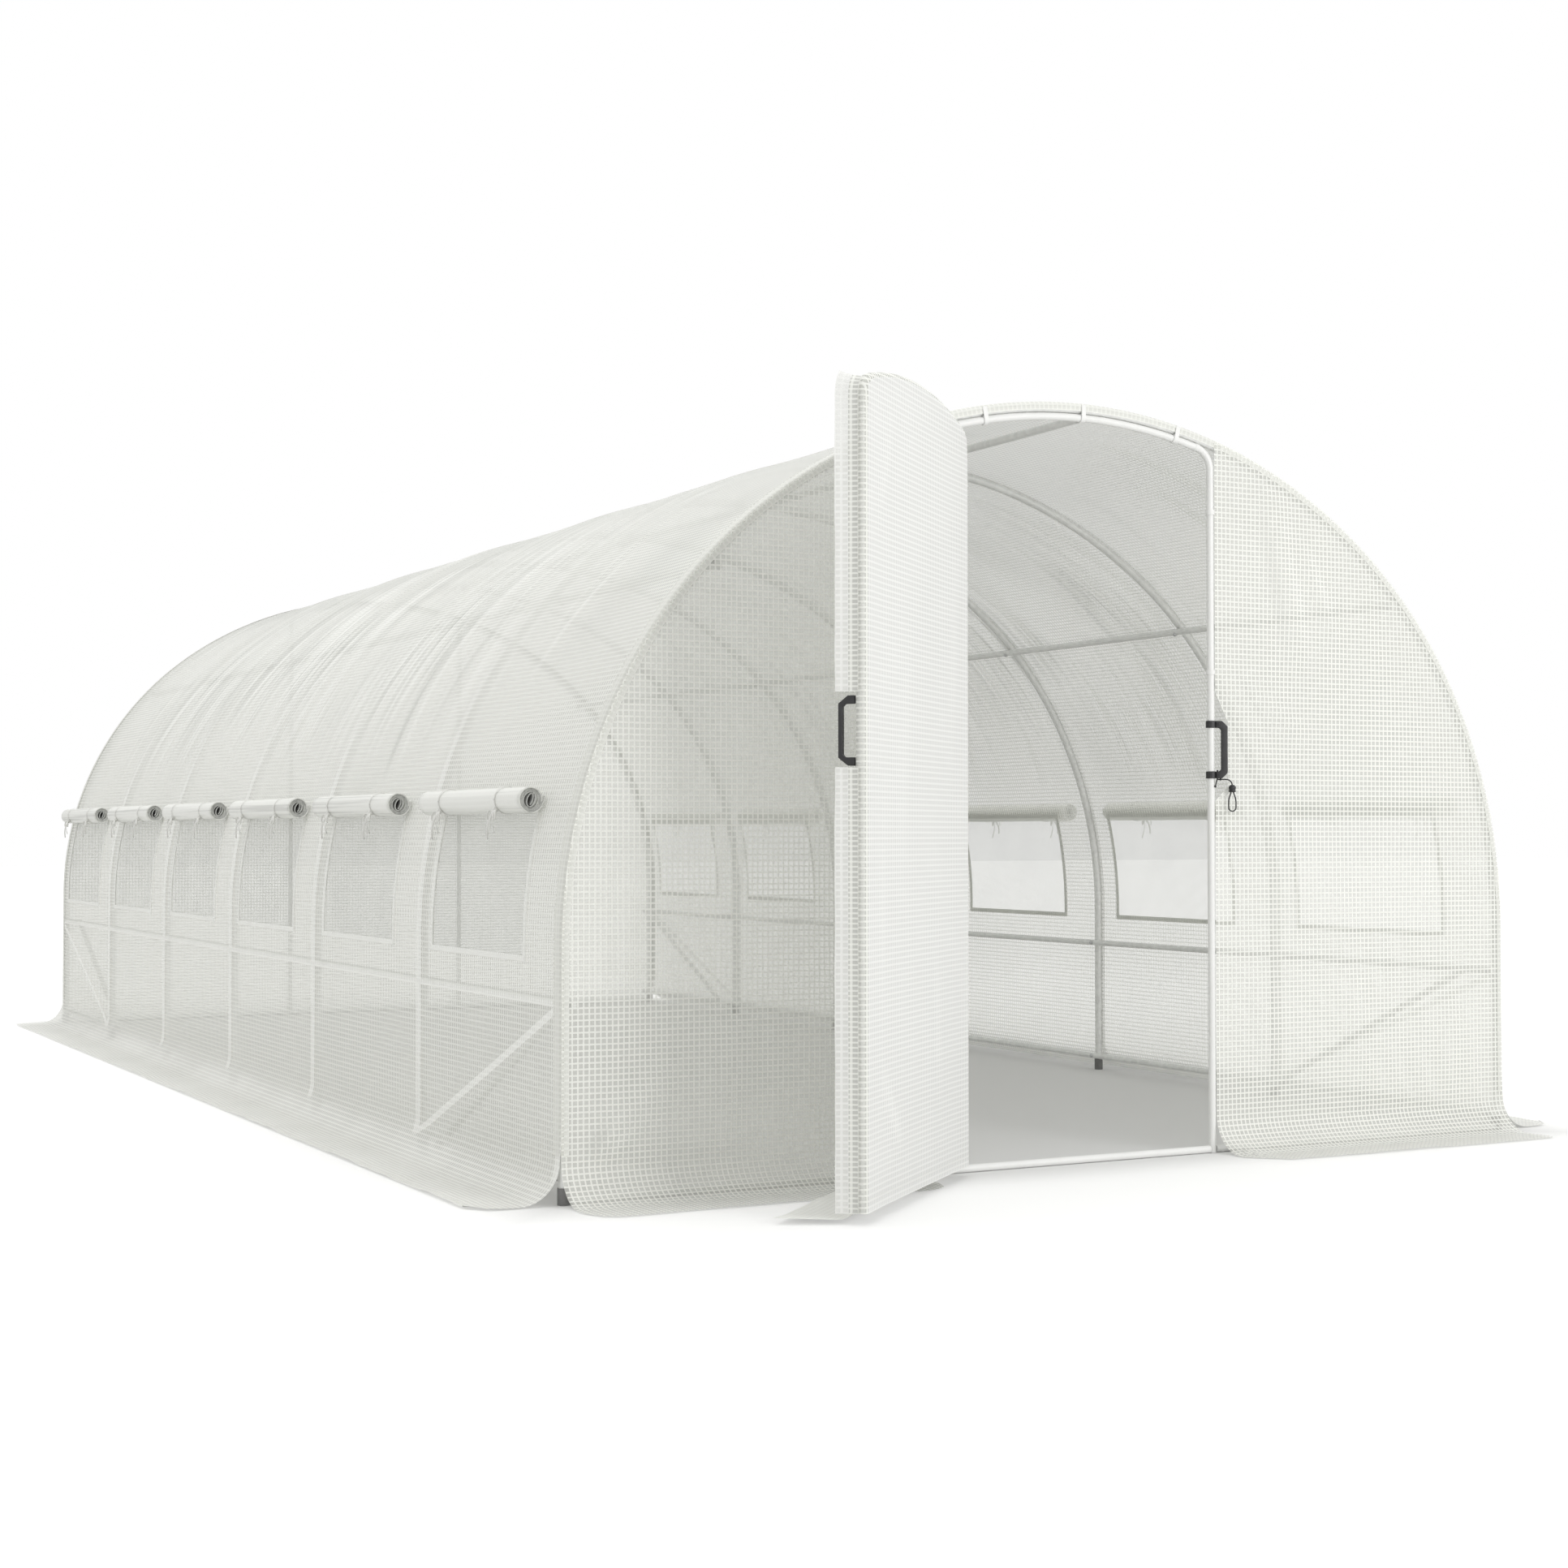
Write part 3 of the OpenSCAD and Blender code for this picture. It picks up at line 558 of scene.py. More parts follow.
def film_look(name, tones, pitch, gap_alpha, thread_alpha, veil=0.10, share=0.36, shape=None):
    """Woven see-through film: white tapes in a square check with clearer film between them.

    shape is given for the cover, which has fine pleats over the arch, is painted paler over the tubes behind it as a
    painted highlight for the lit tubes showing through, and is painted darker towards the crown as painted shade.
    """
    look = Look(name)
    u, v = look.weave()
    first, second, threads = threads_of(u, v, pitch, share, 0.07)
    crossing = first * second
    place = look.place()
    cloud = look.noise(place, 1.7, 4.0)
    fold = look.node("ShaderNodeAttribute", {"attribute_name": "fold"}, out="Fac")
    # ridge and valley come from the fold attribute: ridge paints a highlight on raised folds and valley paints shade in
    # sunken ones; ridge also raises the alpha
    ridge, valley = fold.ramp(0.0004, 0.0036) * 0.6, (0 - fold).ramp(0.0004, 0.0030)
    if shape:
        up = shape.half_run - abs(v - shape.half_run)
        over = (up - 1.10).ramp(0.0, 0.65) * u.ramp(0.5, 1.6) * (5.9 - u).ramp(0.0, 1.2)
        # long pleats along the hoops, in patches, fainter over the crown, painted as highlights on their ridges and
        # shade in their valleys, with a bump as well
        patch = look.sheet_noise(u * 1.9, v * 1.3)
        broad = look.sheet_noise(u * 19 + v * 2.2, v * 0.75)
        slim = look.sheet_noise(u * 52 + v * 4.0, v)
        over = over * (patch.ramp(0.36, 0.60) * 0.8 + 0.2) * (1 - (up - 1.9).ramp(0.0, 1.0) * 0.55)
        ridge = ridge.at_least(broad.ramp(0.50, 0.68) * over * 0.85).at_least(slim.ramp(0.52, 0.66) * over)
        valley = valley.at_least((1 - broad).ramp(0.52, 0.66) * over).at_least((1 - slim).ramp(0.53, 0.65) * over)
        # painted highlight over the tubes behind the film, and the skirt painted paler in patches as a painted
        # highlight; both join ridge
        bears = painted_tube_highlights(shape, u, up)
        skirt = 1 - up.ramp(shape.foot - 0.09, shape.foot - 0.01)
        ridge = ridge.at_least(bears * 0.85).at_least(skirt * (patch.ramp(0.3, 0.7) * 0.35 + 0.30))
    dust = (0.30 - look.axes(place)[2]).ramp(0.0, 0.30) * look.noise(place, 9.0, 5.0)
    tone = look.mix(threads * 0.8 + crossing * 0.2, *tones)
    if shape:
        # painted shade: the cover is coloured darker towards the crown
        tone = look.mix((up - 1.85).ramp(0.0, 0.75) * 0.60, tone, (0.62, 0.625, 0.60))
    # painted highlight where ridge is set, and painted shade where valley is set
    tone = look.mix(ridge * 0.85, tone, (0.975, 0.980, 0.950))
    tone = look.mix(valley * (0.85 if shape else 0.52), tone, (0.60, 0.61, 0.575))
    tone = look.mix(dust * 0.10, tone, (0.62, 0.605, 0.565))
    alpha = threads * (thread_alpha - gap_alpha) + gap_alpha + crossing * 0.05 + ridge * 0.24 + valley * 0.05
    if shape:
        alpha = alpha - (1 - up.ramp(0.95, 1.30)) * (1 - ridge) * 0.09
    alpha = (alpha + (cloud - 0.5) * 0.10 + dust * 0.06).at_most(0.97)
    fine = u.wave(0.0031) * v.wave(0.0031) * 0.10
    height = threads * 0.6 + crossing * 0.3 + fine + cloud * 0.5
    if shape:
        height = height + (broad.ramp(0.34, 0.68) * 8 + slim.ramp(0.36, 0.66) * 3.5) * over
    return look.finish(
        through=(veil, (0.88, 0.886, 0.845)), Base_Color=tone, Roughness=0.38 + threads * 0.14, Alpha=alpha,
        Normal=look.bump(height, 0.35, 0.0007), Specular_IOR_Level=0.35)


def painted_tube_highlights(shape, u, up):
    """Where the cover lies on the hoops, waist rails and corner braces, from 0 to 1: the mask of a painted highlight
    for the lit tubes showing through the film.
    """
    sizes = shape.sizes
    leg = abs(((u - sizes.hoop_inset) / shape.step + 0.5).part() - 0.5) * shape.step
    rail = abs(up - shape.run_at(WAIST))
    end = u.at_most(sizes.length - u)
    low, high = np.array([shape.step + 0.020, shape.foot - 0.045]), np.array([0.02, shape.run_at(0.462)])
    across = (high - low)[::-1] * (1, -1) / np.hypot(*(high - low))
    brace = abs((end - low[0]) * float(across[0]) + (up - low[1]) * float(across[1]))
    brace = brace + (end - low[0]).ramp(-0.02, 0.02) + (up - high[1]).ramp(0.0, 0.02) + (low[1] - up).ramp(0.0, 0.02)
    hoops = (1 - leg.ramp(0.014, 0.025)) * (1 - up.ramp(1.0, 1.6) * 0.72)
    marks = hoops.at_least(1 - rail.ramp(0.004, 0.010)).at_least(1 - brace.ramp(0.007, 0.012))
    return marks * up.ramp(shape.foot - 0.07, shape.foot - 0.03)


def hem_look(name, colours, pitch):
    """Doubled film along a sewn edge, nearly solid white, with its threads showing."""
    look = Look(name)
    u, v = look.weave()
    first, second, threads = threads_of(u, v, pitch, 0.42, 0.12)
    worn = look.noise(look.place(), 24.0, 4.0)
    tone = look.mix(threads * 0.45 + worn.ramp(0.45, 0.8) * 0.15, colours.hem, (0.975, 0.980, 0.955))
    height = threads * 0.6 + first * second * 0.3 + worn * 0.3
    return look.finish(
        through=(0.10, (0.88, 0.886, 0.850)), Base_Color=tone, Roughness=0.40 + worn * 0.14,
        Alpha=0.88 + threads * 0.10, Normal=look.bump(height, 0.4, 0.0006), Specular_IOR_Level=0.35)


def screen_look(name, colours):
    """Fine insect mesh with open holes."""
    look = Look(name)
    u, v = look.weave()
    first, second, threads = threads_of(u, v, 0.0030, 0.30, 0.08)
    cloud = look.noise(look.place(), 6.0, 3.0)
    tone = look.mix(cloud.ramp(0.3, 0.75), colours.mesh, shaded(colours.mesh, 0.86))
    return look.finish(
        through=(0.12, colours.mesh), Base_Color=tone, Roughness=0.55 + cloud * 0.1, Alpha=threads * 0.90 + 0.02,
        Normal=look.bump(first + second, 0.5, 0.0003))


def roll_look(name, tone, pitch):
    """Film wound into a roll, layers showing at its ends."""
    look = Look(name)
    u, v = look.weave()
    threads = threads_of(u, v, pitch, 0.42, 0.10)[2]
    drawn = look.node("ShaderNodeMapping", None, {"Vector": look.place(), "Scale": (110.0, 0.8, 110.0)})
    slack = look.noise(drawn, 1.0, 4.0)
    # painted highlight and painted shade in streaks along the roll, on the creases of its wound film
    shade = look.mix(threads * 0.6 + slack.ramp(0.4, 0.7) * 0.25, tone, shaded(tone, 1.10))
    shade = look.mix(slack.ramp(0.52, 0.62) * 0.75, shade, shaded(tone, 0.74))
    return look.finish(
        Base_Color=shade, Roughness=0.34 + slack * 0.2,
        Normal=look.bump(threads * 0.5 + slack * 1.2, 0.45, 0.0010), Specular_IOR_Level=0.45)


def tape_look(name, tone):
    """Narrow woven tape with ribs across it."""
    look = Look(name)
    ribs = look.weave()[1].wave(0.0016) * 0.5 + 0.5
    soil = look.noise(look.place(), 60.0, 4.0)
    shade = look.mix(ribs * 0.35 + soil * 0.35, tone, shaded(tone, 0.82))
    return look.finish(Base_Color=shade, Roughness=0.62 + soil * 0.15, Normal=look.bump(ribs, 0.5, 0.0004))


def galvanised_look(name, tone, metallic=0.42):
    """Zinc-coated tube with soft spangles and dull patches."""
    look = Look(name)
    place = look.place()
    spangle = look.node("ShaderNodeTexVoronoi", {"feature": "SMOOTH_F1"},
                        {"Vector": place, "Scale": 70.0, "Smoothness": 0.6, "Randomness": 1.0}, out="Color")
    grain = look.axes(spangle)[0]
    cloud = look.noise(place, 9.0, 5.0)
    shade = look.mix(grain * 0.6 + cloud * 0.2, shaded(tone, 0.90), shaded(tone, 1.10))
    shade = look.mix(cloud.ramp(0.60, 0.78) * 0.20, shade, shaded(tone, 0.72))
    return look.finish(
        Base_Color=shade, Metallic=metallic, Roughness=0.34 + grain * 0.10 + cloud * 0.14,
        Normal=look.bump(grain * 0.4 + cloud, 0.12, 0.0005))


def painted_look(name, tone):
    """White powder coat with a fine orange peel and a few rubbed spots."""
    look = Look(name)
    place = look.place()
    peel = look.noise(place, 420.0, 2.0)
    cloud = look.noise(place, 12.0, 5.0)
    shade = look.mix(cloud.ramp(0.35, 0.8) * 0.5, tone, shaded(tone, 0.93))
    shade = look.mix(cloud.ramp(0.70, 0.80) * 0.3, shade, (0.62, 0.62, 0.60))
    return look.finish(
        Base_Color=shade, Roughness=0.30 + cloud * 0.18, Normal=look.bump(peel, 0.10, 0.0004),
        Specular_IOR_Level=0.5)


def moulded_look(name, tone, worn):
    """Moulded plastic with a fine grain, paler where it is handled."""
    look = Look(name)
    place = look.place()
    grain = look.noise(place, 900.0, 2.0)
    cloud = look.noise(place, 35.0, 4.0)
    shade = look.mix(cloud.ramp(0.45, 0.75) * 0.6, tone, worn)
    return look.finish(
        Base_Color=shade, Roughness=0.36 + cloud * 0.16 + grain * 0.06, Normal=look.bump(grain, 0.22, 0.0003),
        Specular_IOR_Level=0.5)


def braid_look(name, tone):
    """Elastic cord in a braided sleeve."""
    look = Look(name)
    x, y, z = look.axes(look.place())
    braid = (x + z).wave(0.0016) * (y + x - z).wave(0.0016) * 0.5 + 0.5
    shade = look.mix(braid * 0.7, tone, (0.055, 0.055, 0.057))
    return look.finish(Base_Color=shade, Roughness=0.62 + braid * 0.15, Normal=look.bump(braid, 0.6, 0.0003))


def thread_look(name, tone):
    """Sewing thread with a twist."""
    look = Look(name)
    x, y, z = look.axes(look.place())
    twist = (x + y + z).wave(0.0011) * 0.5 + 0.5
    shade = look.mix(twist, tone, shaded(tone, 0.86))
    return look.finish(Base_Color=shade, Roughness=0.55 + twist * 0.12)


LOOKS = {}


def look_of(name):
    """One of the tunnel's finishes, made when it is first asked for."""
    if name not in LOOKS:
        colours, sizes = bpy.context.scene.tunnel_colours, bpy.context.scene.tunnel_sizes
        woven, clean = (colours.film, colours.thread), (colours.clean_film, colours.clean_thread)
        makers = {
            "cover_film": lambda: film_look(name, woven, sizes.weave, 0.58, 0.86, shape=Shape(sizes)),
            "wall_film": lambda: film_look(name, woven, sizes.weave, 0.42, 0.90, share=0.30),
            "door_film": lambda: film_look(name, clean, sizes.weave * 0.92, 0.84, 0.93),
            "door_edge": lambda: film_look(name, woven, sizes.weave * 0.92, 0.40, 0.90),
            "flap_film": lambda: film_look(name, clean, sizes.weave, 0.80, 0.97, veil=0.25),
            # painted shade: the flap's root takes the shaded film colour
            "flap_root": lambda: film_look(name, (colours.shaded_film, colours.thread), sizes.weave * 0.8, 0.95, 0.96),
            "sleeve_film": lambda: film_look(name, woven, sizes.weave, 0.90, 0.94),
            "sewn_hem": lambda: hem_look(name, colours, sizes.weave),
            "insect_mesh": lambda: screen_look(name, colours),
            "rolled_film": lambda: roll_look(name, colours.roll, sizes.weave),
            # the roll ends and core take darker tones, painted shade for the hollow of the roll
            "roll_ends": lambda: roll_look(name, colours.painted_shade_roll_end, sizes.weave),
            "roll_core": lambda: roll_look(name, shaded(colours.painted_shade_roll_end, 0.50), sizes.weave),
            "tie_tape": lambda: tape_look(name, colours.tie),
            "zinc_tube": lambda: galvanised_look(name, colours.galvanised),
            "plated_steel": lambda: galvanised_look(name, colours.steel, 0.85),
            "white_tube": lambda: painted_look(name, colours.white),
            "white_plastic": lambda: moulded_look(name, colours.white, (0.78, 0.78, 0.76)),
            "black_plastic": lambda: moulded_look(name, colours.black, (0.034, 0.034, 0.036)),
            "grey_plastic": lambda: moulded_look(name, (0.17, 0.17, 0.168), (0.24, 0.24, 0.235)),
            "braided_cord": lambda: braid_look(name, colours.black),
            "seam_thread": lambda: thread_look(name, colours.thread),
        }
        LOOKS[name] = makers[name]()
    return LOOKS[name]


def new_tree(name, inputs):
    """A Geometry Nodes tree with its sockets, and its input node."""
    tree = bpy.data.node_groups.new(name, "GeometryNodeTree")
    for socket, kind in inputs.items():
        tree.interface.new_socket(socket, in_out="INPUT", socket_type="NodeSocket" + kind)
    tree.interface.new_socket("Result", in_out="OUTPUT", socket_type="NodeSocketGeometry")
    kit = Look("", tree)
    return kit, kit.node("NodeGroupInput")


def end_tree(kit, copies, finish):
    """Ends a tree with its copies as plain mesh in one finish."""
    real = kit.node("GeometryNodeRealizeInstances", None, {"Geometry": copies})
    done = kit.node("GeometryNodeSetMaterial", None, {"Geometry": real, "Material": finish})
    kit.node("NodeGroupOutput", None, {"Result": done})
    return kit.tree


def curve_tree():
    """Geometry Nodes that lay stitches along lines."""
    kit, given = new_tree(STITCH_TREE, {
        "Lines": "Geometry", "Spacing": "Float", "Stitch": "Float", "Thickness": "Float", "Thread": "Material"})
    line = kit.node("GeometryNodeMeshToCurve", None, {"Mesh": given})
    dots = kit.node("GeometryNodeCurveToPoints", {"mode": "LENGTH"},
                    {"Curve": line, "Length": kit.other(given, "Spacing")})
    turn = kit.node("FunctionNodeAlignRotationToVector", {"axis": "Z"}, {"Vector": kit.other(dots, "Tangent")})
    thick = kit.other(given, "Thickness")
    size = kit.node("ShaderNodeCombineXYZ", None, {"X": thick, "Y": thick, "Z": kit.other(given, "Stitch")})
    bead = kit.node("GeometryNodeMeshIcoSphere", None, {"Radius": 0.5, "Subdivisions": 1})
    many = kit.node("GeometryNodeInstanceOnPoints", None,
                    {"Points": dots, "Instance": bead, "Rotation": turn, "Scale": size})
    return end_tree(kit, many, kit.other(given, "Thread"))


def place_tree():
    """Geometry Nodes that set one fitting at each point, facing its own way."""
    kit, given = new_tree(FITTING_TREE, {
        "Points": "Geometry", "Fitting": "Object", "Size": "Float", "Finish": "Material"})
    facing = kit.node("GeometryNodeInputNamedAttribute", {"data_type": "FLOAT_VECTOR"}, {"Name": "facing"})
    turn = kit.node("FunctionNodeAlignRotationToVector", {"axis": "Z"}, {"Vector": facing})
    piece = kit.node("GeometryNodeObjectInfo", None, {"Object": kit.other(given, "Fitting")}, out="Geometry")
    many = kit.node("GeometryNodeInstanceOnPoints", None, {
        "Points": given, "Instance": piece, "Rotation": turn, "Scale": kit.other(given, "Size")})
    return end_tree(kit, many, kit.other(given, "Finish"))


def grown(name, mesh, tree, values):
    """Runs a node tree on a mesh and gives back the result as a plain mesh."""
    source = bpy.data.objects.new(name + "_source", mesh)
    bpy.context.scene.collection.objects.link(source)
    worker = source.modifiers.new("tree", "NODES")
    worker.node_group = tree
    for item in tree.interface.items_tree:
        if item.in_out == "INPUT" and item.name in values:
            worker[item.identifier] = values[item.name]
    bpy.context.view_layer.update()
    graph = bpy.context.evaluated_depsgraph_get()
    made = bpy.data.meshes.new_from_object(source.evaluated_get(graph), depsgraph=graph)
    made.name = name
    source.modifiers.remove(worker)
    bpy.data.objects.remove(source)
    if not made.polygons:
        raise RuntimeError(name + " came out empty")
    return made


def stitched(name, lines, body):
    """Stitches along seam lines, as one piece."""
    mesh = bpy.data.meshes.new(name + "_lines")
    points, edges = [], []
    for line in lines:
        first = len(points)
        points += [tuple(p) for p in line]
        edges += [(first + i, first + i + 1) for i in range(len(line) - 1)]
    mesh.from_pydata(points, edges, [])
    tree = bpy.data.node_groups.get(STITCH_TREE) or curve_tree()
    made = grown(name, mesh, tree, {
        "Spacing": STITCH_SPACING, "Stitch": STITCH_SPACING * 0.68, "Thickness": 0.0013,
        "Thread": look_of("seam_thread")})
    made.materials.clear()
    return place_piece(made, look_of("seam_thread"), body)


def fitted(name, fitting, points, facing, finish, body, replaces=()):
    """One fitting repeated at points, as one piece."""
    mesh = bpy.data.meshes.new(name + "_points")
    mesh.from_pydata([tuple(p) for p in points], [], [])
    mesh.attributes.new("facing", "FLOAT_VECTOR", "POINT").data.foreach_set(
        "vector", np.asarray(facing, np.float32).ravel())
    model = bpy.data.objects.new(name + "_model", fitting)
    bpy.context.scene.collection.objects.link(model)
    tree = bpy.data.node_groups.get(FITTING_TREE) or place_tree()
    made = grown(name, mesh, tree, {"Fitting": model, "Size": 1.0, "Finish": look_of(finish)})
    bpy.data.objects.remove(model)
    made.materials.clear()
    made.polygons.foreach_set("use_smooth", np.full(len(made.polygons), True))
    return place_piece(made, look_of(finish), body, replaces)


class TunnelOperator:
    """What the tunnel's operators share."""

    bl_options = {"REGISTER", "UNDO"}

    def execute(self, context):
        self.make(context, context.scene.tunnel_sizes, Shape(context.scene.tunnel_sizes))
        return {"FINISHED"}


class TUNNEL_OT_stage(TunnelOperator, bpy.types.Operator):
    """Camera, soft light, world and pale floor"""

    bl_idname = "tunnel.stage"
    bl_label = "Stage"

    def make(self, context, sizes, shape):
        scene = context.scene
        scene.view_settings.view_transform = "Standard"
        lens = bpy.data.cameras.new("photo_camera")
        lens.sensor_width, lens.lens = 36.0, 53.11
        lens.clip_end = 200.0
        camera = bpy.data.objects.new("photo_camera", lens)
        camera.location = (-3.589, -5.043, 0.869)
        camera.rotation_euler = (math.pi / 2 + 0.022, 0.0, -0.489)
        scene.collection.objects.link(camera)
        scene.camera = camera
        lamps = (("key", (3.2, -9.0, 2.8), 3.6, 325.0), ("top", (-1.0, 2.5, 8.5), 7.0, 240.0))
        for name, place, size, power in lamps:
            lamp = bpy.data.lights.new(name, "AREA")
            lamp.shape, lamp.size, lamp.energy = "SQUARE", size, power
            light = bpy.data.objects.new(name, lamp)
            light.location = place
            light.rotation_euler = (Vector((0, 2.0, 0.8)) - Vector(place)).to_track_quat("-Z", "Y").to_euler()
            scene.collection.objects.link(light)
        self.world(scene)
        self.floor(scene, scene.tunnel_colours)

    def seen(self, look):
        path = look.node("ShaderNodeLightPath", out="Is Camera Ray")
        return path.at_least(look.other(path, "Is Glossy Ray")).at_least(look.other(path, "Is Transmission Ray"))

    def world(self, scene):
        scene.world = scene.world or bpy.data.worlds.new("studio")
        scene.world.use_nodes = True
        look = Look("", scene.world.node_tree)
        tone = look.mix(self.seen(look), (0.82, 0.82, 0.81), (1.0, 1.0, 1.0))
        sky = look.node("ShaderNodeBackground", None, {"Color": tone, "Strength": 1.0})
        look.node("ShaderNodeOutputWorld", None, {"Surface": sky})

    def floor(self, scene, colours):
        mesh = bpy.data.meshes.new("pale_floor")
        mesh.from_pydata([(-60, -60, 0), (60, -60, 0), (60, 60, 0), (-60, 60, 0)], [], [(0, 1, 2, 3)])
        floor = bpy.data.objects.new("pale_floor", mesh)
        floor.location.z = -0.0006
        scene.collection.objects.link(floor)
        look = Look("pale_floor")
        place = look.place()
        speck = look.noise(place, 3.0, 3.0)
        tone = look.mix(speck * 0.15, colours.floor, shaded(colours.floor, 0.97))
        x, y, _ = look.axes(place)
        away = look.node("ShaderNodeVectorMath", {"operation": "LENGTH"}, {0: place}, out="Value")
        under = (abs(x) - 1.5).at_least(abs(y - 3.0) - 3.0)
        glow = look.mix(away.ramp(1.0, 8.0), (0.30, 0.30, 0.30), (0.54, 0.54, 0.54))
        glow = look.mix(self.seen(look) * under.ramp(-0.1, 0.3), (0, 0, 0), glow)
        mesh.materials.append(look.finish(
            Base_Color=tone, Roughness=0.9, Specular_IOR_Level=0.1, Emission_Color=glow, Emission_Strength=1.0))


class TUNNEL_OT_cord(TunnelOperator, bpy.types.Operator):
    """Elastic closing cord on the jamb handle, with its hitch and toggle"""

    bl_idname = "tunnel.cord"
    bl_label = "Closing cord"

    def make(self, context, sizes, shape):
        def at_arm(points):
            """Places by the jamb handle's lower arm, given in millimetres."""
            low = sizes.handle_middle - sizes.handle_size / 2
            return turned(np.asarray(points, float) / 1000, JAMB_TURN, JAMB, low)

        hitch = at_arm([(11, -7, -22), (13, -8, -12), (15, -10.2, -4), (17, -10.4, 2), (17, -10.4, 10),
                        (17.3, -10.4, 17), (17.6, -9.6, 21.2), (18, -4, 21.6), (18, 4, 21.6), (18.4, 9.6, 21.2),
                        (18.7, 10.4, 17), (19, 10.4, 10), (19, 10.4, 2), (19.5, 9.6, -2.2), (22, 4, -2.6),
                        (26, 0.4, -2.6)])
        path = at_arm([(26, 0.4, -2.6), (28, 0.1, -2.6), (31, 0, -2.6), (36, 0, -2.6), (41, 0, -2.7), (46, 0, -3.2),
                       (50, 0, -4.8), (53.6, 0, -7.8), (56.3, 0, -11.8), (57.7, 0, -15.6), (58, 0, -20),
                       (57.4, 0, -26), (56.2, 0, -32), (55, 0, -37), (53.6, 0, -42), (51.4, 0, -48), (49.4, 0, -54),
                       (48.4, 0, -60), (48.0, 0, -67), (48.0, 0, -74),
                       *[(58 + 10 * math.cos(a), 0, -80 + 10 * math.sin(a)) for a in np.linspace(-math.pi, 0, 9)],
                       (68.0, 0, -74), (68.0, 0, -67), (67.6, 0, -60), (66.6, 0, -54), (64.6, 0, -48),
                       (62.4, 0, -42), (61, 0, -37), (60.4, 0, -34)])
        stock = Stock()
        fine = smooth_path(hitch, 4)
        stock.add(*sweep(fine, round_outline(sizes.cord / 2)))
        for end in (fine[0], fine[-1]):
            stock.add(*lathe([(0.0004, -0.0034), (0.0022, -0.0026), (0.0031, 0), (0.0022, 0.0026), (0.0004, 0.0034)],
                             12, at=end))
        knot = stock.make("cord_hitch", look_of("braided_cord"), slot="black_cord")
        stock = Stock()
        barrel = [(0.0030, 0), (0.0080, 0.0002), (0.0096, 0.0016), (0.0099, 0.0040), (0.0090, 0.0052),
                  (0.0090, 0.0080), (0.0099, 0.0092), (0.0099, 0.0150), (0.0092, 0.0166), (0.0070, 0.0172),
                  (0.0066, 0.0192), (0.0056, 0.0200), (0.0025, 0.0200)]
        stock.add(*lathe(barrel, 32, at=at_arm([(58, 0, -38)])[0]))
        toggle = stock.make("cord_lock", look_of("black_plastic"), slot="black_plastic", replaces=["cord_toggle"])
        curve = bpy.data.curves.new("closing_cord_line", "CURVE")
        curve.dimensions, curve.bevel_depth, curve.bevel_resolution = "3D", sizes.cord / 2, 3
        curve.use_fill_caps = True
        line = curve.splines.new("POLY")
        line.points.add(len(path) - 1)
        for point, place in zip(line.points, path):
            point.co = (*place, 1.0)
        line.use_smooth = True
        curve.materials.append(look_of("braided_cord"))
        cord = bpy.data.objects.new("closing_cord_line", curve)
        context.scene.collection.objects.link(cord)
        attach(cord, "tunnel")
        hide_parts("closing_cord")


def smooth_path(points, parts):
    """A line through points, drawn finer."""
    p = np.asarray(points, float)
    p = np.concatenate([[2 * p[0] - p[1]], p, [2 * p[-1] - p[-2]]])
    line = []
    for a, b, c, d in zip(p, p[1:], p[2:], p[3:]):
        for t in np.arange(parts) / parts:
            line.append(0.5 * (2 * b + (c - a) * t + (2 * a - 5 * b + 4 * c - d) * t ** 2
                               + (3 * b - a - 3 * c + d) * t ** 3))
    return np.array(line + [p[-2]])


class TUNNEL_OT_frame_finish(TunnelOperator, bpy.types.Operator):
    """Finishes of the tubes, hinges, clips and feet that come with the frame"""

    bl_idname = "tunnel.frame_finish"
    bl_label = "Tube finishes"

    def make(self, context, sizes, shape):
        groups = {
            "zinc_tube": HOOPS + ["ridge_purlin", "left_shoulder_purlin", "right_shoulder_purlin", "left_waist_rail",
                                  "right_waist_rail", "left_base_rail", "right_base_rail", "front_base_rails",
                                  "rear_base_rail", "corner_braces", "rear_posts", "door_frame"],
            "white_tube": ["door_surround", "door_sill"],
            "white_plastic": ["surround_clips"],
            "plated_steel": ["jamb_hinges", "door_hinges"],
            "grey_plastic": ["hoop_feet"],
        }
        for finish, nodes in groups.items():
            for node in nodes:
                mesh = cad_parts[node].data
                mesh.materials.clear()
                mesh.materials.append(look_of(finish))


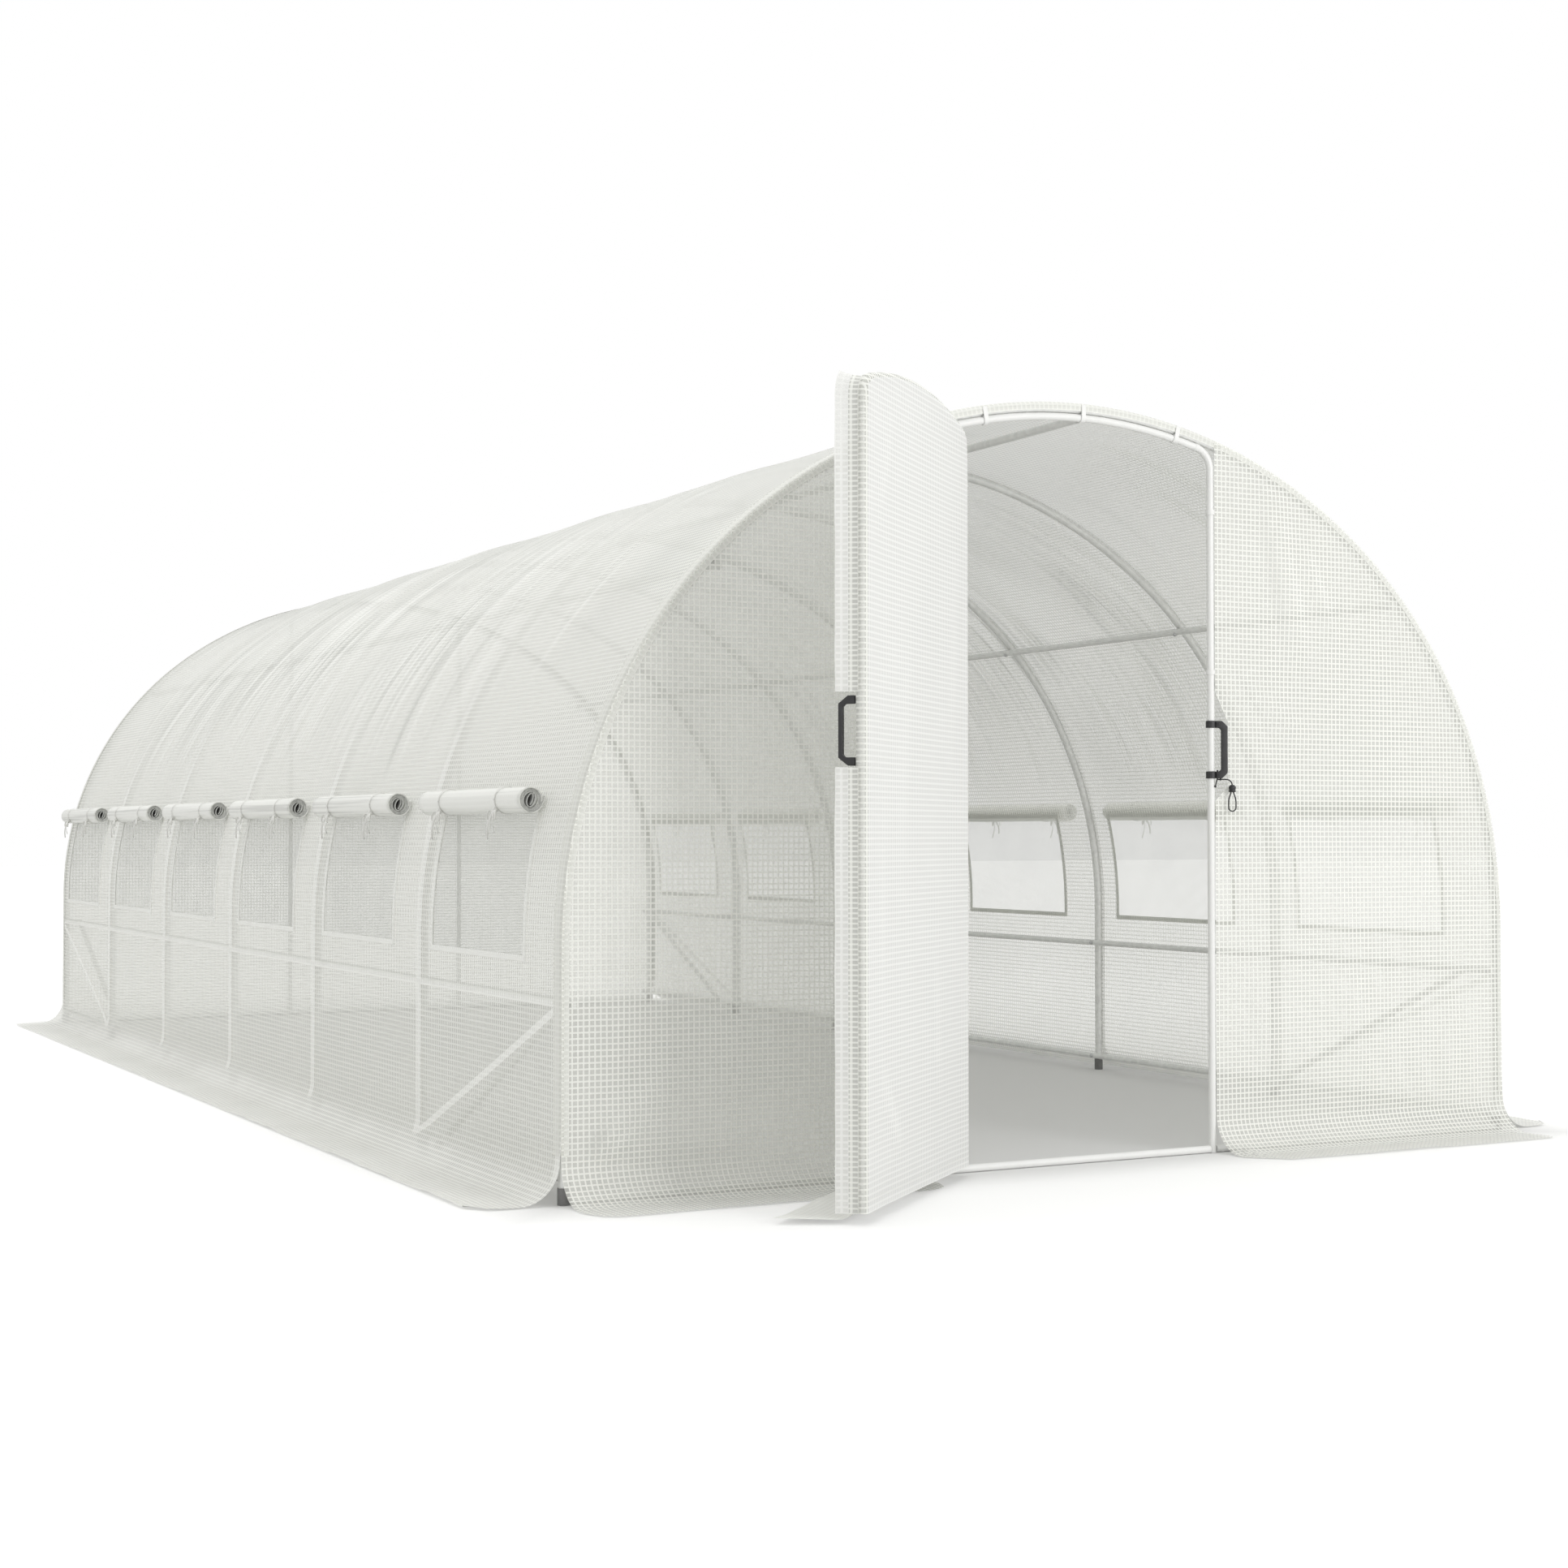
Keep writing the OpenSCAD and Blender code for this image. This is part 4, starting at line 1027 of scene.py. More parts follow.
class TUNNEL_OT_cover(TunnelOperator, bpy.types.Operator):
    """One film sheet over all the hoops, with its skirts and window openings"""

    bl_idname = "tunnel.cover"
    bl_label = "Film cover"

    def make(self, context, sizes, shape):
        low, high = shape.low_run, shape.high_run
        half = shape.half_run
        left = between(0, sizes.skirt_flat, shape.foot, low, high, half, step=0.042)
        extra = between(sizes.skirt_flat, shape.foot, step=0.016)
        left = np.unique(np.concatenate([left, extra]))
        runs = np.unique(np.round(np.concatenate([left, 2 * half - left]), 7))
        ends = np.array([0.0035, 0.0065, 0.0100, 0.0165])
        stops = [*ends]
        for place in range(sizes.bays):
            stops += [shape.window_y(place) - sizes.window_width / 2, shape.window_y(place) + sizes.window_width / 2]
        stops += [*(sizes.length - ends[::-1])]
        ys = between(*stops, step=0.0165)
        points, fold = shape.on_cover(ys[None, :], runs[:, None])
        # the outer corners of the skirts are rounded
        t = shape.from_edge(runs)[:, None]
        corner, fade = 0.075, 0.16
        back = np.where(t < corner, corner - np.sqrt(np.maximum(corner ** 2 - (corner - t) ** 2, 0)), 0)
        near = np.minimum(ys, sizes.length - ys)[None, :]
        shove = np.maximum(back - near + 0.0035, 0) * (near < fade) * np.where(ys[None, :] < 1, 1, -1)
        points[..., 1] += shove * np.clip(1 - near / fade, 0, 1)
        middle_y = (ys[:-1] + ys[1:]) / 2
        middle_t = np.minimum(runs[:-1] + runs[1:], 4 * half - runs[:-1] - runs[1:]) / 2
        open_y = np.zeros(len(middle_y), bool)
        for place in range(sizes.bays):
            open_y |= np.abs(middle_y - shape.window_y(place)) < sizes.window_width / 2
        keep = ~(open_y[None, :] & ((middle_t > low) & (middle_t < high))[:, None])
        weave = spread(ys[None, :], runs[:, None])
        stock = Stock()
        # fold carries the fold heights, which the cover's film paints as highlight on raised folds and shade in sunken
        # ones
        stock.grid(points, weave, fold, keep, flip=True)
        cover = stock.make("film_cover", look_of("cover_film"), slot="woven_film",
                           replaces=["left_wall_cover", "right_wall_cover", "roof_cover"])
        flat = (sizes.length - 0.007, 2 * half)
        openings = 2 * sizes.bays * sizes.window_width * (high - low)
        flat[0] * flat[1] - openings


class TUNNEL_OT_sleeves(TunnelOperator, bpy.types.Operator):
    """Film turned round the two end hoops, over the raw edges of the cover and the end walls"""

    bl_idname = "tunnel.sleeves"
    bl_label = "End sleeves"

    def make(self, context, sizes, shape):
        low = shape.foot + 0.012
        runs = np.linspace(low, 2 * shape.half_run - low, 190)
        x, z, nx, nz = shape.section(runs)
        turn = np.linspace(0, math.pi / 2, 9)
        depth = np.concatenate([[0.023, 0.0195], 0.016 - 0.0155 * np.sin(turn), [0.0005, 0.0007]])
        back = np.concatenate([[0.0, 0.0], 0.0161 - 0.0155 * np.cos(turn), [0.030, 0.046]])
        inner = smooth(0.47 - np.abs(x), 0.0, 0.03)
        for name, end in (("front_sleeve", 0), ("rear_sleeve", 1)):
            y = np.repeat(back[None, :], len(runs), 0)
            y[:, :2] = 0.0006 + (0.0026 * inner[:, None] if end == 0 else 0)
            y[:, 2] = y[:, 1]
            y[:, 3] = np.maximum(y[:, 3], y[:, 2])
            pucker = 0.0007 * np.sin(runs * 95)[:, None] * np.sin(math.pi * np.linspace(0, 1, len(depth)))[None, :]
            d = depth[None, :] - np.abs(pucker) * 0.5
            points = spread(x[:, None] - nx[:, None] * d, y if end == 0 else sizes.length - y,
                            z[:, None] - nz[:, None] * d)
            run = run_along(spread(depth, back))
            weave = spread(run[None, :], runs[:, None])
            stock = Stock()
            stock.grid(points, weave, flip=end == 0)
            sleeve = stock.make(name, look_of("sleeve_film"), slot="woven_film")


class TUNNEL_OT_end_walls(TunnelOperator, bpy.types.Operator):
    """Film of the front wall on both sides of the doorway and of the rear wall, with their skirts"""

    bl_idname = "tunnel.end_walls"
    bl_label = "End walls"

    front_folds = {
        1: [(0.62, 1.86, 0.74, 1.30, 0.050, 0.010), (0.72, 1.72, 0.86, 1.40, 0.030, 0.006),
            (0.47, 1.34, 0.66, 0.92, 0.045, 0.007), (0.50, 1.30, 0.80, 1.12, 0.030, 0.005),
            (0.56, 0.60, 0.66, 0.16, 0.060, 0.006), (1.05, 1.45, 1.18, 0.60, 0.090, 0.005),
            (0.90, 0.50, 0.96, 0.13, 0.050, 0.005), (1.28, 0.42, 1.30, 0.12, 0.050, 0.005)],
        -1: [(0.60, 1.84, 0.70, 1.25, 0.060, 0.007), (0.95, 1.55, 1.05, 0.70, 0.080, 0.005),
             (1.30, 0.80, 1.38, 0.14, 0.045, 0.006), (0.75, 0.60, 0.80, 0.13, 0.060, 0.006),
             (1.20, 0.30, 1.42, 0.12, 0.040, 0.006), (1.34, 0.17, 1.43, 0.115, 0.022, 0.009),
             (1.05, 0.45, 1.08, 0.12, 0.040, 0.005)],
        0: [(-0.9, 1.4, -0.8, 0.5, 0.07, 0.006), (-0.2, 1.9, -0.25, 1.0, 0.06, 0.006),
            (0.4, 1.7, 0.5, 0.7, 0.07, 0.006), (0.95, 1.3, 1.1, 0.3, 0.06, 0.006),
            (-1.2, 0.8, -1.25, 0.13, 0.05, 0.005), (0.1, 0.6, 0.1, 0.13, 0.06, 0.005)],
    }

    def make(self, context, sizes, shape):
        self.front(sizes, shape, -1)
        self.front(sizes, shape, 1)
        self.rear(sizes, shape)

    def skirt_points(self, shape, x, limit, ripple_phase, high):
        """Flared skirt below a wall: rows from its outer edge up to the wall. Y is towards minus."""
        share = np.concatenate([np.linspace(1, 0.58, 6), np.linspace(0.55, 0, 9)])
        run = share[:, None] * limit[None, :]
        radius = shape.sizes.skirt_radius
        turn = np.minimum(run / radius, math.pi / 2)
        y = -radius + (radius + FILM) * np.cos(turn) - np.maximum(run - shape.flare, 0)
        z = shape.flare_z - (radius + FILM) * np.sin(turn)
        loose = smooth(run, shape.flare * 0.6, shape.foot + 0.02)
        z = z + high * loose * (0.5 + 0.5 * ripple(x, ripple_phase)[None, :])
        y = y - 0.006 * loose * ripple(x * 0.7, ripple_phase + 1)[None, :]
        return spread(x, y, z), run

    def limit(self, shape, x, ends):
        """Length of the skirt at each place, rounded off towards its ends."""
        total = np.full(len(x), shape.foot)
        for end, corner in ends:
            near = np.clip(np.abs(x - end), 0, corner)
            total = np.minimum(total, shape.foot - corner + np.sqrt(np.maximum(corner ** 2 - (corner - near) ** 2, 0)))
        return total

    def front(self, sizes, shape, side):
        edge, notch = sizes.film_edge, 0.044 if side > 0 else 0.0
        middle = sizes.handle_middle
        whole = sizes.half_width - WALL_INSET - edge
        skirt_from = (0.530 - edge) / whole
        share = np.unique(np.concatenate([np.linspace(0, skirt_from, 5 if side < 0 else 2),
                                          np.linspace(skirt_from, 1, 46)]))
        head = sizes.crown_z + math.sqrt((sizes.crown_radius - WALL_INSET) ** 2 - (edge + 0.001) ** 2)
        z = between(shape.flare_z, middle - 0.140, middle - 0.100, middle + 0.074, middle + 0.158, head, step=0.027)
        inner = edge + np.interp(z, [middle - 0.14, middle - 0.1, middle + 0.074, middle + 0.158],
                                 [0, notch, notch, 0])
        outer = shape.arch_reach(z, WALL_INSET)
        x = inner[:, None] + share[None, :] * np.maximum(outer - inner, 0.0004)[:, None]
        zz = np.broadcast_to(z[:, None], x.shape)
        calm = smooth(outer[:, None] - x, 0.0, 0.14) * smooth(x - inner[:, None], -0.02, 0.12)
        fold = ridges(x, zz, self.front_folds[side]) * calm
        wave = 0.0035 * (0.5 + 0.5 * np.sin(6.1 * x + 2.3 * zz + side) * np.sin(3.1 * zz + 1.2 * x)) * calm
        wall = spread(side * x, FILM - fold - wave, zz)
        stock = Stock()
        # the fold attribute here is each fold's slope across the wall, so one flank of a fold is painted as highlight
        # and the other as shade, as if lit from one side
        slope = np.gradient(fold, axis=1) / np.maximum(np.gradient(x, axis=1), 1e-4)
        stock.grid(wall, spread(x, zz), -side * slope * 0.012, flip=side < 0)
        cols = share >= skirt_from - 1e-9 if side < 0 else share >= 0
        xs = x[0, cols]
        ends = [(xs[0], 0.10), (xs[-1], 0.08 if side < 0 else 0.02)]
        skirt, run = self.skirt_points(shape, xs, self.limit(shape, xs, ends), 0.3 + side, 0.004 if side < 0 else 0.006)
        skirt[-1, :, 1] = wall[0, cols, 1]
        weave = spread(skirt[..., 0], shape.flare_z - run)
        skirt[..., 0] *= side
        stock.grid(skirt, weave, flip=side < 0)
        if side < 0:
            patch_x = x[0, ~cols | (share <= skirt_from + 1e-9)]
            down = np.linspace(0.006, shape.flare_z, 6)
            patch = spread(-patch_x[None, :], FILM, down[:, None])
            stock.grid(patch, spread(-patch[..., 0], patch[..., 2]), flip=True)
        name = "front_left_film" if side < 0 else "front_right_film"
        piece = stock.make(name, look_of("wall_film"), weld=2e-5, slot="woven_film",
                           replaces=["front_left_wall" if side < 0 else "front_right_wall"])
        stretched(piece, (whole, head - shape.flare_z + shape.foot), 1.004)

    def rear(self, sizes, shape):
        share = np.linspace(-1, 1, 92)
        head = sizes.crown_z + sizes.crown_radius - 0.0042
        z = between(shape.flare_z, head - 0.15, head, step=0.027)
        z = np.unique(np.concatenate([z, head - 0.15 * np.linspace(0, 1, 14) ** 2]))
        outer = np.maximum(shape.arch_reach(z, WALL_INSET), 0.0004)
        x = share[None, :] * outer[:, None]
        zz = np.broadcast_to(z[:, None], x.shape)
        calm = smooth(outer[:, None] - np.abs(x), 0.0, 0.14)
        fold = ridges(x, zz, self.front_folds[0]) * calm
        wave = 0.0035 * (0.5 + 0.5 * np.sin(5.1 * x + 2.3 * zz) * np.sin(3.1 * zz + 1.2 * x)) * calm
        wall = spread(x, sizes.length - FILM + fold + wave, zz)
        stock = Stock()
        # fold carries the fold heights, painted by the film look as highlight on raised folds and shade in sunken ones
        stock.grid(wall, spread(x, zz), fold * 0.35, flip=True)
        limit = self.limit(shape, x[0], [(x[0, 0], 0.08), (x[0, -1], 0.08)])
        skirt, run = self.skirt_points(shape, x[0], limit, 0.9, 0.006)
        skirt[..., 1] = sizes.length - skirt[..., 1]
        skirt[-1, :, 1] = wall[0, :, 1]
        stock.grid(skirt, spread(skirt[..., 0], shape.flare_z - run), flip=True)
        piece = stock.make("rear_film", look_of("wall_film"), weld=2e-5, slot="woven_film", replaces=["rear_wall"])
        stretched(piece, (2 * sizes.half_width, head - shape.flare_z + shape.foot), 1.004)


class TUNNEL_OT_windows(TunnelOperator, bpy.types.Operator):
    """Insect mesh in the window openings, and the sewn hems round them"""

    bl_idname = "tunnel.windows"
    bl_label = "Window screens"

    def make(self, context, sizes, shape):
        for name, side in SIDES:
            mesh, hems = Stock(), Stock()
            for place in range(sizes.bays):
                self.screen(mesh, sizes, shape, place, side)
                self.hem(hems, sizes, shape, place, side)
            strip = hems.make(name + "_window_hems", look_of("sewn_hem"), slot="woven_film")
            piece = mesh.make(name + "_screens", look_of("insect_mesh"), slot="mesh_screen",
                              replaces=[name + "_window_screens"])
            size = (sizes.window_width + 0.03) * sizes.bays, shape.high_run - shape.low_run + 0.03

    def screen(self, stock, sizes, shape, place, side):
        middle, reach = shape.window_y(place), sizes.window_width / 2 + 0.015
        y = np.linspace(middle - reach, middle + reach, 25)
        run = np.linspace(shape.low_run - 0.015, shape.high_run + 0.015, 16)
        sag = np.sin(np.linspace(0, math.pi, 16))[:, None] * np.sin(np.linspace(0, math.pi, 25))[None, :]
        points, _ = shape.on_cover(y[None, :], shape.on_side(run, side)[:, None], proud=-0.0022 - 0.003 * sag)
        weave = spread(y[None, :], run[:, None])
        stock.grid(points, weave, flip=side < 0)

    def hem(self, stock, sizes, shape, place, side):
        """A strip round an opening, in rings that grow from its edge."""
        t = np.arange(14)[:, None] / 14
        rows, weave = [], []
        proud = (-0.0004, 0.0009, 0.0012, 0.0012, 0.0009, 0.0001)
        for share, high in zip((0, 0.04, 0.2, 0.8, 0.96, 1), proud):
            grow = sizes.hem * share
            reach, foot, head = sizes.window_width / 2 + grow, shape.low_run - grow, shape.high_run + grow
            corners = np.array([(-reach, foot), (reach, foot), (reach, head), (-reach, head), (-reach, foot)])
            ring = np.concatenate([*(a + (b - a) * t for a, b in zip(corners, corners[1:])), corners[-1:]])
            y, run = shape.window_y(place) + ring[:, 0], ring[:, 1]
            rows.append(shape.on_cover(y, shape.on_side(run, side), proud=high)[0])
            weave.append(spread(y, run))
        stock.grid(np.stack(rows), weave, flip=side > 0)


class TUNNEL_OT_rolls(TunnelOperator, bpy.types.Operator):
    """Window flaps rolled up above the openings"""

    bl_idname = "tunnel.rolls"
    bl_label = "Window rolls"

    def make(self, context, sizes, shape):
        for name, side in SIDES:
            stock = Stock()
            for place in range(sizes.bays):
                cut = self.roll(stock, sizes, shape, place, side)
            looks = [look_of(i) for i in ("rolled_film", "roll_ends", "roll_core")]
            piece = stock.make(name + "_rolls", looks, weld=1e-6, slot="rolled_film",
                               replaces=[name + "_window_rolls"])

    def roll(self, stock, sizes, shape, place, side):
        """One wound flap: down the wall from its hem, then round and round towards the middle."""
        rng = np.random.default_rng(40 + place)
        angle, reach = shape.roll_axis()
        centre = np.array([-shape.inset - reach * math.cos(angle), sizes.roll_height])
        wall = np.array([math.cos(angle), -math.sin(angle)])
        down = np.array([-math.sin(angle), -math.cos(angle)])
        thick, pitch, core, per_turn = 0.0032, 0.0035, 0.0145, 34
        outer = sizes.roll_radius - thick / 2
        turns = (outer - core) / pitch
        turn = np.linspace(0, turns * 2 * math.pi, int(turns * per_turn))
        radius = outer - pitch * turn / (2 * math.pi)
        pinch = np.clip((core + 0.0065 - radius) / 0.0065, 0, 1)
        spin = turn + rng.uniform(0, 0.5) * pinch
        line = centre + radius[:, None] * (np.cos(spin) * (1 - 0.74 * pinch))[:, None] * wall \
            + radius[:, None] * np.sin(spin)[:, None] * down
        tail = centre + (outer + 0.0005) * wall - np.array([0.020, 0.015, 0.010, 0.005])[:, None] * down
        tail = tail + np.array([0.0004, 0.0006, 0.0006, 0.0004])[:, None] * wall
        line = np.concatenate([tail, line])
        along = unit(np.gradient(line, axis=0))
        across = spread(along[:, 1], -along[:, 0]) * thick / 2
        across[:len(tail)] *= 0.45
        outline = np.concatenate([line + across, (line - across)[::-1]])
        depth = np.concatenate([np.zeros(len(tail)), smooth(turn, 5.6, 6.6) * (0.0035 + 0.0008 * np.sin(turn * 0.7))])
        depth = np.concatenate([depth, depth[::-1]])
        middle, half = shape.window_y(place), sizes.roll_length / 2
        spots = np.array([-1, -0.96, -0.56, 0.0, 0.56, 0.96, 1])
        rows = []
        for spot in spots:
            y = middle + spot * (half - (depth if abs(spot) == 1 else 0.014))
            rows.append(spread(-side * outline[:, 0], y, outline[:, 1]))
        rows = np.stack(rows)
        run = run_along(outline)
        weave = spread((middle + spots * half)[:, None], run[None, :])
        closed = np.concatenate([rows, rows[:, :1]], 1)
        weave = np.concatenate([weave, weave[:, :1]], 1)
        size = len(line)
        # painted shade: the innermost turn takes the darkest finish, for the shade in the hollow middle of the roll
        wound = np.minimum(np.arange(2 * size), np.arange(2 * size)[::-1])
        stock.grid(closed, weave, flip=side < 0, kind=np.where(wound > size - per_turn - 2, 2, 0))
        for end, row in ((0, rows[0]), (1, rows[-1])):
            strip = np.stack([row[:size], row[size:][::-1]])
            flat = spread(strip[..., 0], strip[..., 2])
            # painted shade: the inner turns at the roll's ends take a darker finish than the outer turn, for the shade
            # between the turns
            inside = np.where(np.arange(size - 1) < len(tail) + per_turn - 1, 0, 1)[None, :]
            stock.grid(strip, flat, flip=(end == 0) == (side > 0), kind=inside)
        return float(run_along(line)[-1])


class TUNNEL_OT_ties(TunnelOperator, bpy.types.Operator):
    """Tapes tied round the rolls, each with its knot, bow and loose ends"""

    bl_idname = "tunnel.ties"
    bl_label = "Roll ties"

    def make(self, context, sizes, shape):
        angle, reach = shape.roll_axis()
        x = shape.inset + reach * math.cos(angle)
        for name, side in SIDES:
            places = [(side * x, shape.window_y(i) + end * sizes.tie_spacing / 2, sizes.roll_height)
                      for i in range(sizes.bays) for end in (-1, 1)]
            fitted(name + "_ties", self.tie(sizes, side), places, [(0, 0, 1)] * len(places), "tie_tape", "tunnel",
                   [name + "_roll_ties"])

    def tie(self, sizes, side):
        stock = Stock()
        tape = tape_outline(sizes.tie_width, 0.0011)
        thin = tape_outline(sizes.tie_width * 0.8, 0.0010)
        radius = sizes.roll_radius + 0.0012
        turn = np.linspace(0, 2 * math.pi, 41)
        ring = spread(side * radius * np.cos(turn), 0.0012 * np.sin(turn), radius * np.sin(turn))
        self.strip(stock, ring, tape, (0, 1, 0))
        low = math.radians(-38)
        knot = np.array([side * (radius + 0.003) * math.cos(low), 0, (radius + 0.003) * math.sin(low)])
        out = np.array([side, 0, 0])
        lump = [(0.0005, -0.0050), (0.0045, -0.0042), (0.0062, -0.0015), (0.0058, 0.0015), (0.0040, 0.0040),
                (0.0005, 0.0048)]
        points, faces = lathe(lump, 12, facing=(0, 1, 0), at=knot)
        stock.add(points, faces, spread(points[:, 0], points[:, 2]))
        wrap = spread(knot[0] + side * 0.0064 * np.cos(turn), 0 * turn, knot[2] + 0.0064 * np.sin(turn))
        self.strip(stock, wrap, tape_outline(0.006, 0.001), (0, 1, 0))
        for sign, reach, drop, curl in ((1, 0.016, 0.074, 0.010), (-1, 0.013, 0.058, -0.008)):
            t = np.linspace(0, 1, 16)
            tail = knot + spread(side * (0.004 + 0.010 * np.sin(t * 2.4)), sign * reach * np.sin(t * 1.7)
                                 + curl * t ** 2, -drop * t ** 1.15)
            twist = 0.4 + sign * 1.5 * t
            across = spread(side * np.sin(twist) * 0.8, np.cos(twist), 0 * t)
            self.strip(stock, tail, thin, across)
            t = np.linspace(0, 1, 18)
            swing = np.sin(math.pi * t)
            bow = knot + spread(side * (0.003 + 0.009 * swing), sign * (0.003 + 0.024 * swing),
                                -0.004 - 0.018 * t * swing * 1.6 + 0.006 * np.sin(2 * math.pi * t))
            self.strip(stock, bow, thin, out)
        mesh = bpy.data.meshes.new("tie")
        points, weave = np.concatenate(stock.points), np.concatenate(stock.weave)
        mesh.from_pydata(points.tolist(), [], stock.faces)
        lay_weave(mesh, weave)
        work = bmesh.new()
        work.from_mesh(mesh)
        bmesh.ops.recalc_face_normals(work, faces=work.faces)
        work.to_mesh(mesh)
        work.free()
        return mesh

    def strip(self, stock, path, outline, side):
        points, faces = sweep(path, outline, side)
        weave = spread(np.tile(np.asarray(outline)[:, 0], len(path)), np.repeat(run_along(path), len(outline)))
        stock.add(points, faces, weave)


class TUNNEL_OT_door(TunnelOperator, bpy.types.Operator):
    """Film bag over the door's tube frame, its edge flap and its skirt"""

    bl_idname = "tunnel.door"
    bl_label = "Door film"

    def make(self, context, sizes, shape):
        self.bag(sizes, shape)
        self.flap(sizes, shape)
        self.skirt(sizes, shape)

    def bag(self, sizes, shape):
        half, low = sizes.leaf_half, sizes.leaf_lift
        edge = np.array([0, 0.0006, 0.002, 0.0045, 0.008, 0.012, 0.016, 0.022])
        x = np.concatenate([edge - half, np.linspace(0.034 - half, half - 0.034, 26), (half - edge)[::-1]])
        top = shape.leaf_top(x)
        share = np.linspace(0, 1, 66)[:-1] * 0.985
        z = low + (top - low)[None, :] * share[:, None]
        z = np.concatenate([z, (top[None, :] - edge[::-1, None])[1:]], 0)
        z = np.maximum.accumulate(z, axis=0)
        xx = np.broadcast_to(x[None, :], z.shape)
        inner = half - sizes.leaf_corner
        turn_z = shape.leaf_turn_z()
        away = np.minimum(half - np.abs(xx), sizes.leaf_radius - np.hypot(xx, z - sizes.crown_z))
        corner = sizes.leaf_corner - np.hypot(np.abs(xx) - inner, z - turn_z)
        slope = math.atan2(turn_z - sizes.crown_z, inner)
        in_corner = (np.abs(xx) > inner) & (z > turn_z) & (np.arctan2(z - sizes.crown_z, np.abs(xx)) < slope)
        away = np.clip(np.where(in_corner, corner, away), 0, None)
        full = 0.0146
        thick = full * np.sqrt(np.clip(1 - (1 - np.clip(away / full, 0, 1)) ** 2, 0, 1))
        dip = 0.0035 * smooth(away, 0.02, 0.16)
        lines = [(-0.30, 1.75, -0.24, 0.9, 0.05, 0.0022), (0.10, 1.5, 0.16, 0.5, 0.06, 0.0022),
                 (0.28, 1.2, 0.30, 0.2, 0.04, 0.0025), (-0.1, 0.7, -0.16, 0.1, 0.05, 0.0025),
                 (0.30, 0.35, 0.12, 0.10, 0.035, 0.0035), (0.2, 1.86, 0.33, 1.55, 0.035, 0.0025)]
        for name, face, nodes in (("door_outer_film", -1, ["door_cover"]), ("door_inner_film", 1, [])):
            fold = ridges(xx * face, z, lines) * smooth(away, 0.015, 0.06)
            points = spread(xx, 0.017 + face * (thick - dip + fold), z)
            stock = Stock()
            rim = np.where(away[:-1, :-1] + away[1:, 1:] < 0.024, 1, 0)
            # fold carries the fold heights, painted by the film look as highlight on raised folds and shade in sunken
            # ones
            stock.grid(shape.open_door(points), spread(xx, z), fold * 0.5, flip=face > 0, kind=rim)
            piece = stock.make(name, [look_of("door_film"), look_of("door_edge")], weld=2e-5, body="door",
                               slot="woven_film", replaces=nodes)
            stretched(piece, (2 * half + 0.03, 1.95), 1.003)

    def flap(self, sizes, shape):
        """Flap standing up along the leaf's free edge, in two parts with the handle between them."""
        stock = Stock()
        turn_z, corner = shape.leaf_turn_z(), sizes.leaf_corner
        low_part = sizes.handle_middle - sizes.handle_size / 2 - 0.004
        high_part = sizes.handle_middle + sizes.handle_size / 2 + 0.008
        bend, lean = np.radians(np.linspace(4, 58, 14)), 0.40
        inner = sizes.leaf_half - corner
        length = 0.0
        for foot, head in ((sizes.leaf_lift, low_part), (high_part, turn_z)):
            z = np.linspace(foot, head, 44)
            x, nx, nz = 0 * z + sizes.leaf_half, 0 * z + 1, 0 * z
            if head == turn_z:
                x = np.concatenate([x, inner + corner * np.cos(bend)])
                z = np.concatenate([z, turn_z + corner * np.sin(bend)])
                nx, nz = np.concatenate([nx, np.cos(bend)]), np.concatenate([nz, np.sin(bend)])
            run = run_along(spread(x, z))
            length += run[-1]
            out = np.linspace(0, 1, 9)[None, :]
            wide = sizes.flap_width * (1 - 0.05 * (0.5 + 0.5 * ripple(run, 0.3)))
            y = FILM - wide[:, None] * out * math.cos(lean) + 0.0125 * (1 - out) ** 3
            sink = 0.0010 + 0.0005 * (1 - out) + 0.0020 * out ** 2 * (0.5 + 0.5 * ripple(run * 1.4, 2.0))[:, None]
            sink = sink - wide[:, None] * math.sin(lean) * out ** 1.3
            points = spread(x[:, None] - nx[:, None] * sink, y, z[:, None] - nz[:, None] * sink)
            # kind 1, the inner part of the flap by its root, takes the darker film: painted shade from the fold there
            stock.grid(shape.open_door(points), spread(wide[:, None] * out, run[:, None]),
                       kind=np.where(out[:, 1:] < 0.45, 1, 0))
        flap = stock.make("door_flap", [look_of("flap_film"), look_of("flap_root")], body="door", slot="woven_film",
                          replaces=["door_edge_flap"])
        stretched(flap, (sizes.flap_width + 0.014, float(length)), 1.003)

    def skirt(self, sizes, shape):
        """Skirt under the leaf: a strip on its outer face, flared out, narrowing towards the hinges."""
        radius, flat, low = 0.0315, 0.138, 0.0115
        first, last = shape.pin[0] + 0.130, sizes.leaf_half - 0.004
        u = np.linspace(0, 1, 48)
        x = first + (last - first) * u
        tab, flare = 0.045, radius * math.pi / 2
        wide = np.interp(x, [first, shape.pin[0] + 0.44], [0.012, flare + flat])
        run = np.concatenate([np.linspace(-tab, 0, 4)[:-1][:, None] + 0 * wide,
                              np.linspace(0, 1, 18)[:, None] * wide[None, :]], 0)
        turn = np.clip(run / radius, 0, math.pi / 2)
        y = 0.0003 - radius + radius * np.cos(turn) - np.maximum(run - flare, 0)
        z = low + radius - radius * np.sin(turn) + np.maximum(-run, 0)
        loose = smooth(run, flare * 0.7, flare + flat)
        z = z + 0.007 * loose * (0.5 + 0.5 * ripple(x * 1.5, 1.1))[None, :]
        slant = 0.42 * np.maximum(run - flare * 0.6, 0) * smooth(u, 0.55, 1.0)[None, :]
        xx = x[None, :] + slant
        stock = Stock()
        stock.grid(shape.open_door(spread(xx, y, z)), spread(xx, run))
        skirt = stock.make("door_skirt_film", look_of("sewn_hem"), body="door", slot="woven_film",
                           replaces=["door_skirt"])
        stretched(skirt, (last - first + 0.06, tab + flare + flat), 1.003)


